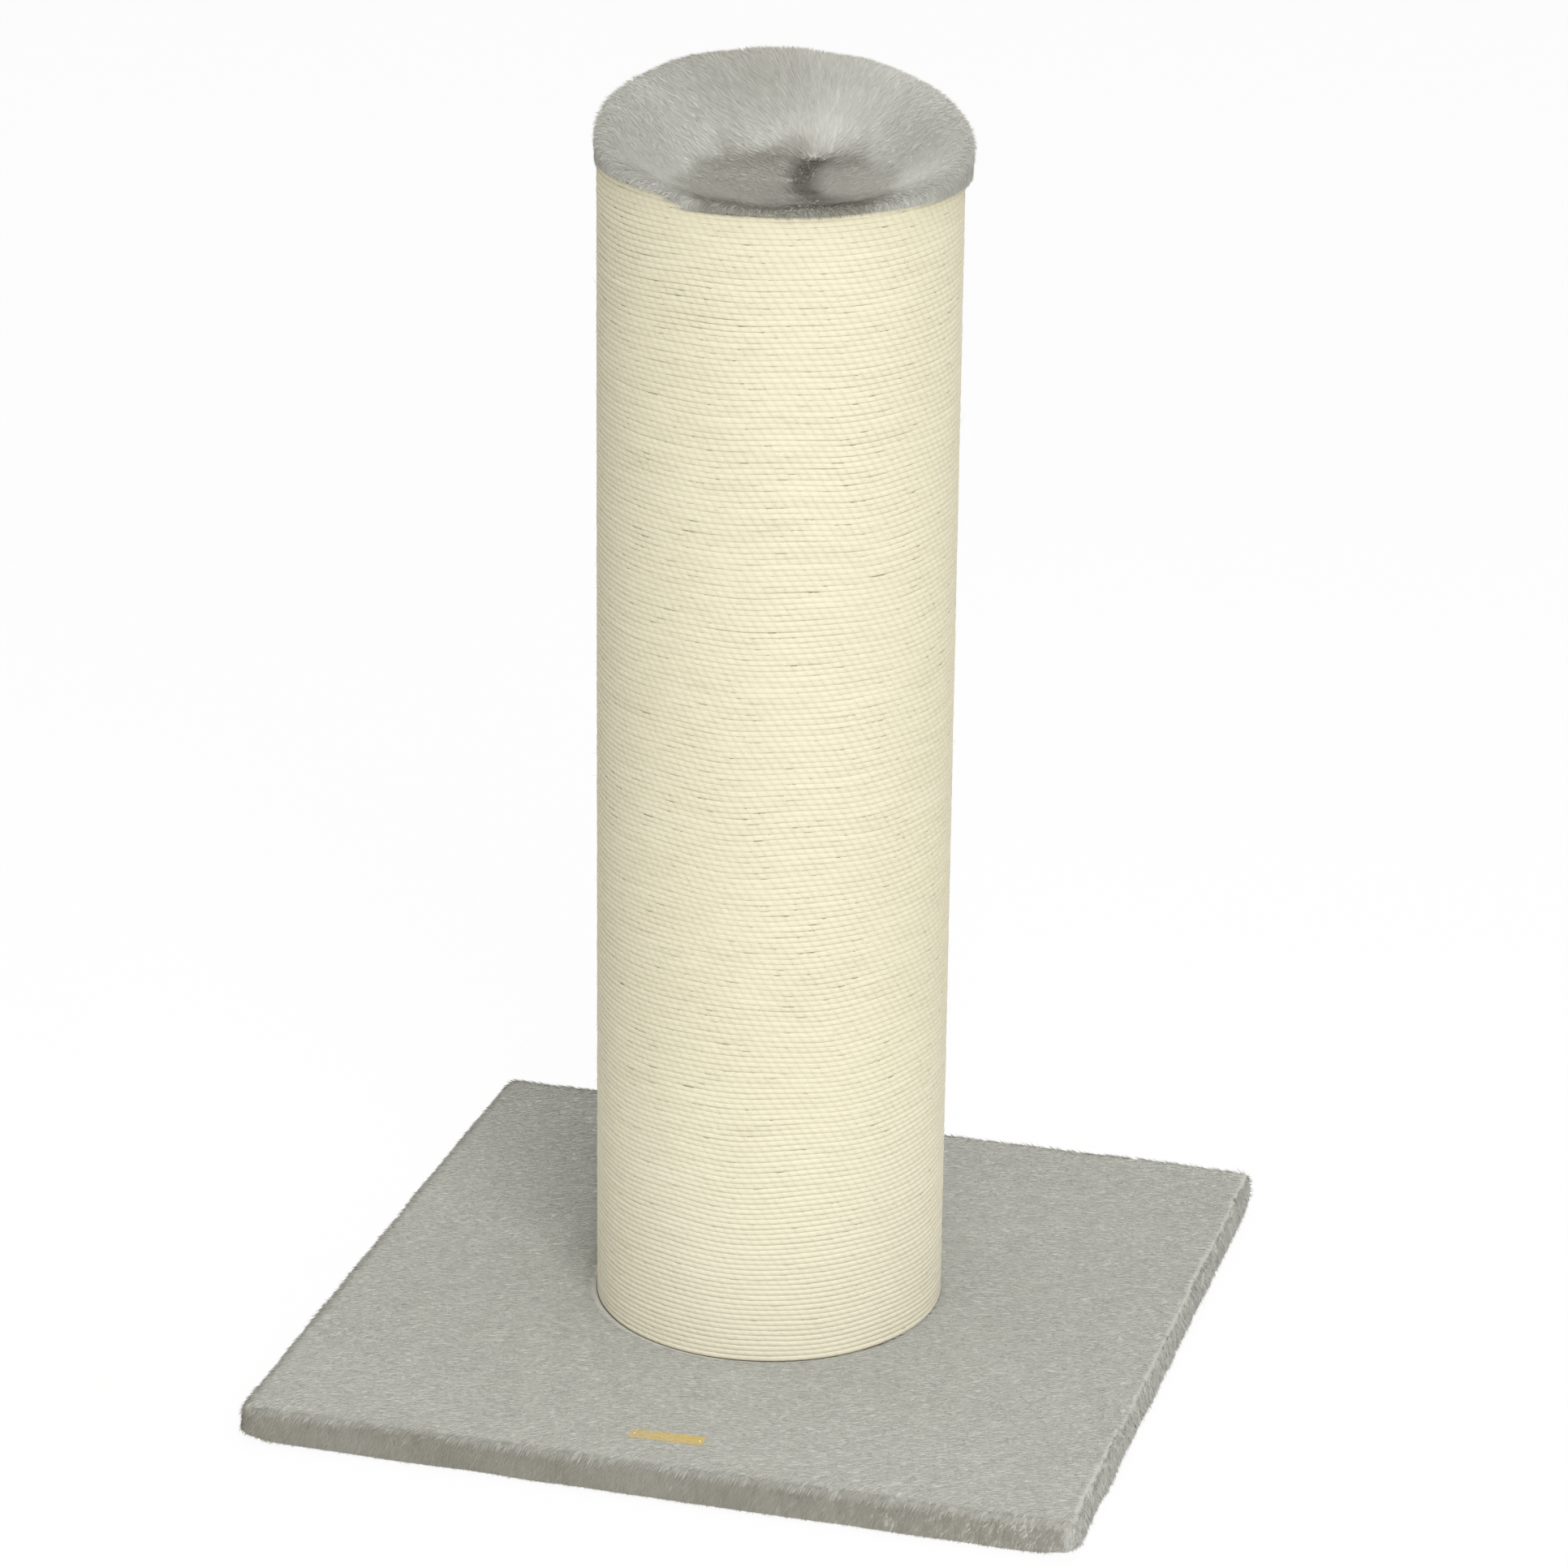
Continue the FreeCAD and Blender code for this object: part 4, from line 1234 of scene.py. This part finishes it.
def place_camera(scene, stage):
    """Camera from the photograph's own view: azimuth, elevation and roll, the place on the column's axis that
    it looks at, and its distances back from there and aside."""
    azimuth, elevation, roll = (math.radians(angle) for angle in (15.656, 20.706, 0.653))
    look_at, away, aside = Vector((0, 0, 0.419)), 4.044, 0.0068
    level = math.cos(elevation)
    back = Vector((math.sin(azimuth) * level, -math.cos(azimuth) * level, math.sin(elevation)))
    right = Vector((math.cos(azimuth), math.sin(azimuth), 0))
    upward = back.cross(right)
    side = right * math.cos(roll) + upward * math.sin(roll)
    rise = upward * math.cos(roll) - right * math.sin(roll)
    data = bpy.data.cameras.new("camera")
    data.sensor_width, data.lens = 36.0, stage.lens
    data.clip_end = 40.0
    camera = bpy.data.objects.new("camera", data)
    facing = Matrix((side, rise, back)).transposed().to_4x4()
    camera.matrix_world = Matrix.Translation(look_at + back * away + right * aside) @ facing
    scene.collection.objects.link(camera)
    scene.camera = camera


class POST_PT_panel(bpy.types.Panel):
    """Lists the steps and their sizes"""

    bl_label = "Scratching Post"
    bl_idname = "POST_PT_panel"
    bl_space_type = "VIEW_3D"
    bl_region_type = "UI"
    bl_category = "Scratching Post"

    def draw(self, context):
        for operator in STEPS:
            self.layout.operator(operator.bl_idname)
        for name, group in SETTINGS.items():
            box = self.layout.box()
            for key in group.__annotations__:
                box.prop(getattr(context.scene, name), key)


STEPS = (POST_OT_stage, POST_OT_effects, POST_OT_hardware, POST_OT_rope, POST_OT_plush)
SETTINGS = {"post_rope": RopeSettings, "post_plush": PlushSettings, "post_stage": StageSettings}


def register():
    for group in SETTINGS.values():
        bpy.utils.register_class(group)
    for name, group in SETTINGS.items():
        setattr(bpy.types.Scene, name, bpy.props.PointerProperty(type=group))
    for kind in (*STEPS, POST_PT_panel):
        bpy.utils.register_class(kind)


def unregister():
    for kind in (POST_PT_panel, *reversed(STEPS)):
        bpy.utils.unregister_class(kind)
    for name, group in SETTINGS.items():
        delattr(bpy.types.Scene, name)
        bpy.utils.unregister_class(group)


def main():
    register()
    bpy.ops.post.stage()
    bpy.ops.post.effects()
    bpy.ops.post.hardware()
    bpy.ops.post.rope()
    bpy.ops.post.plush()
    bpy.context.view_layer.update()


if __name__ == "__main__":
    main()
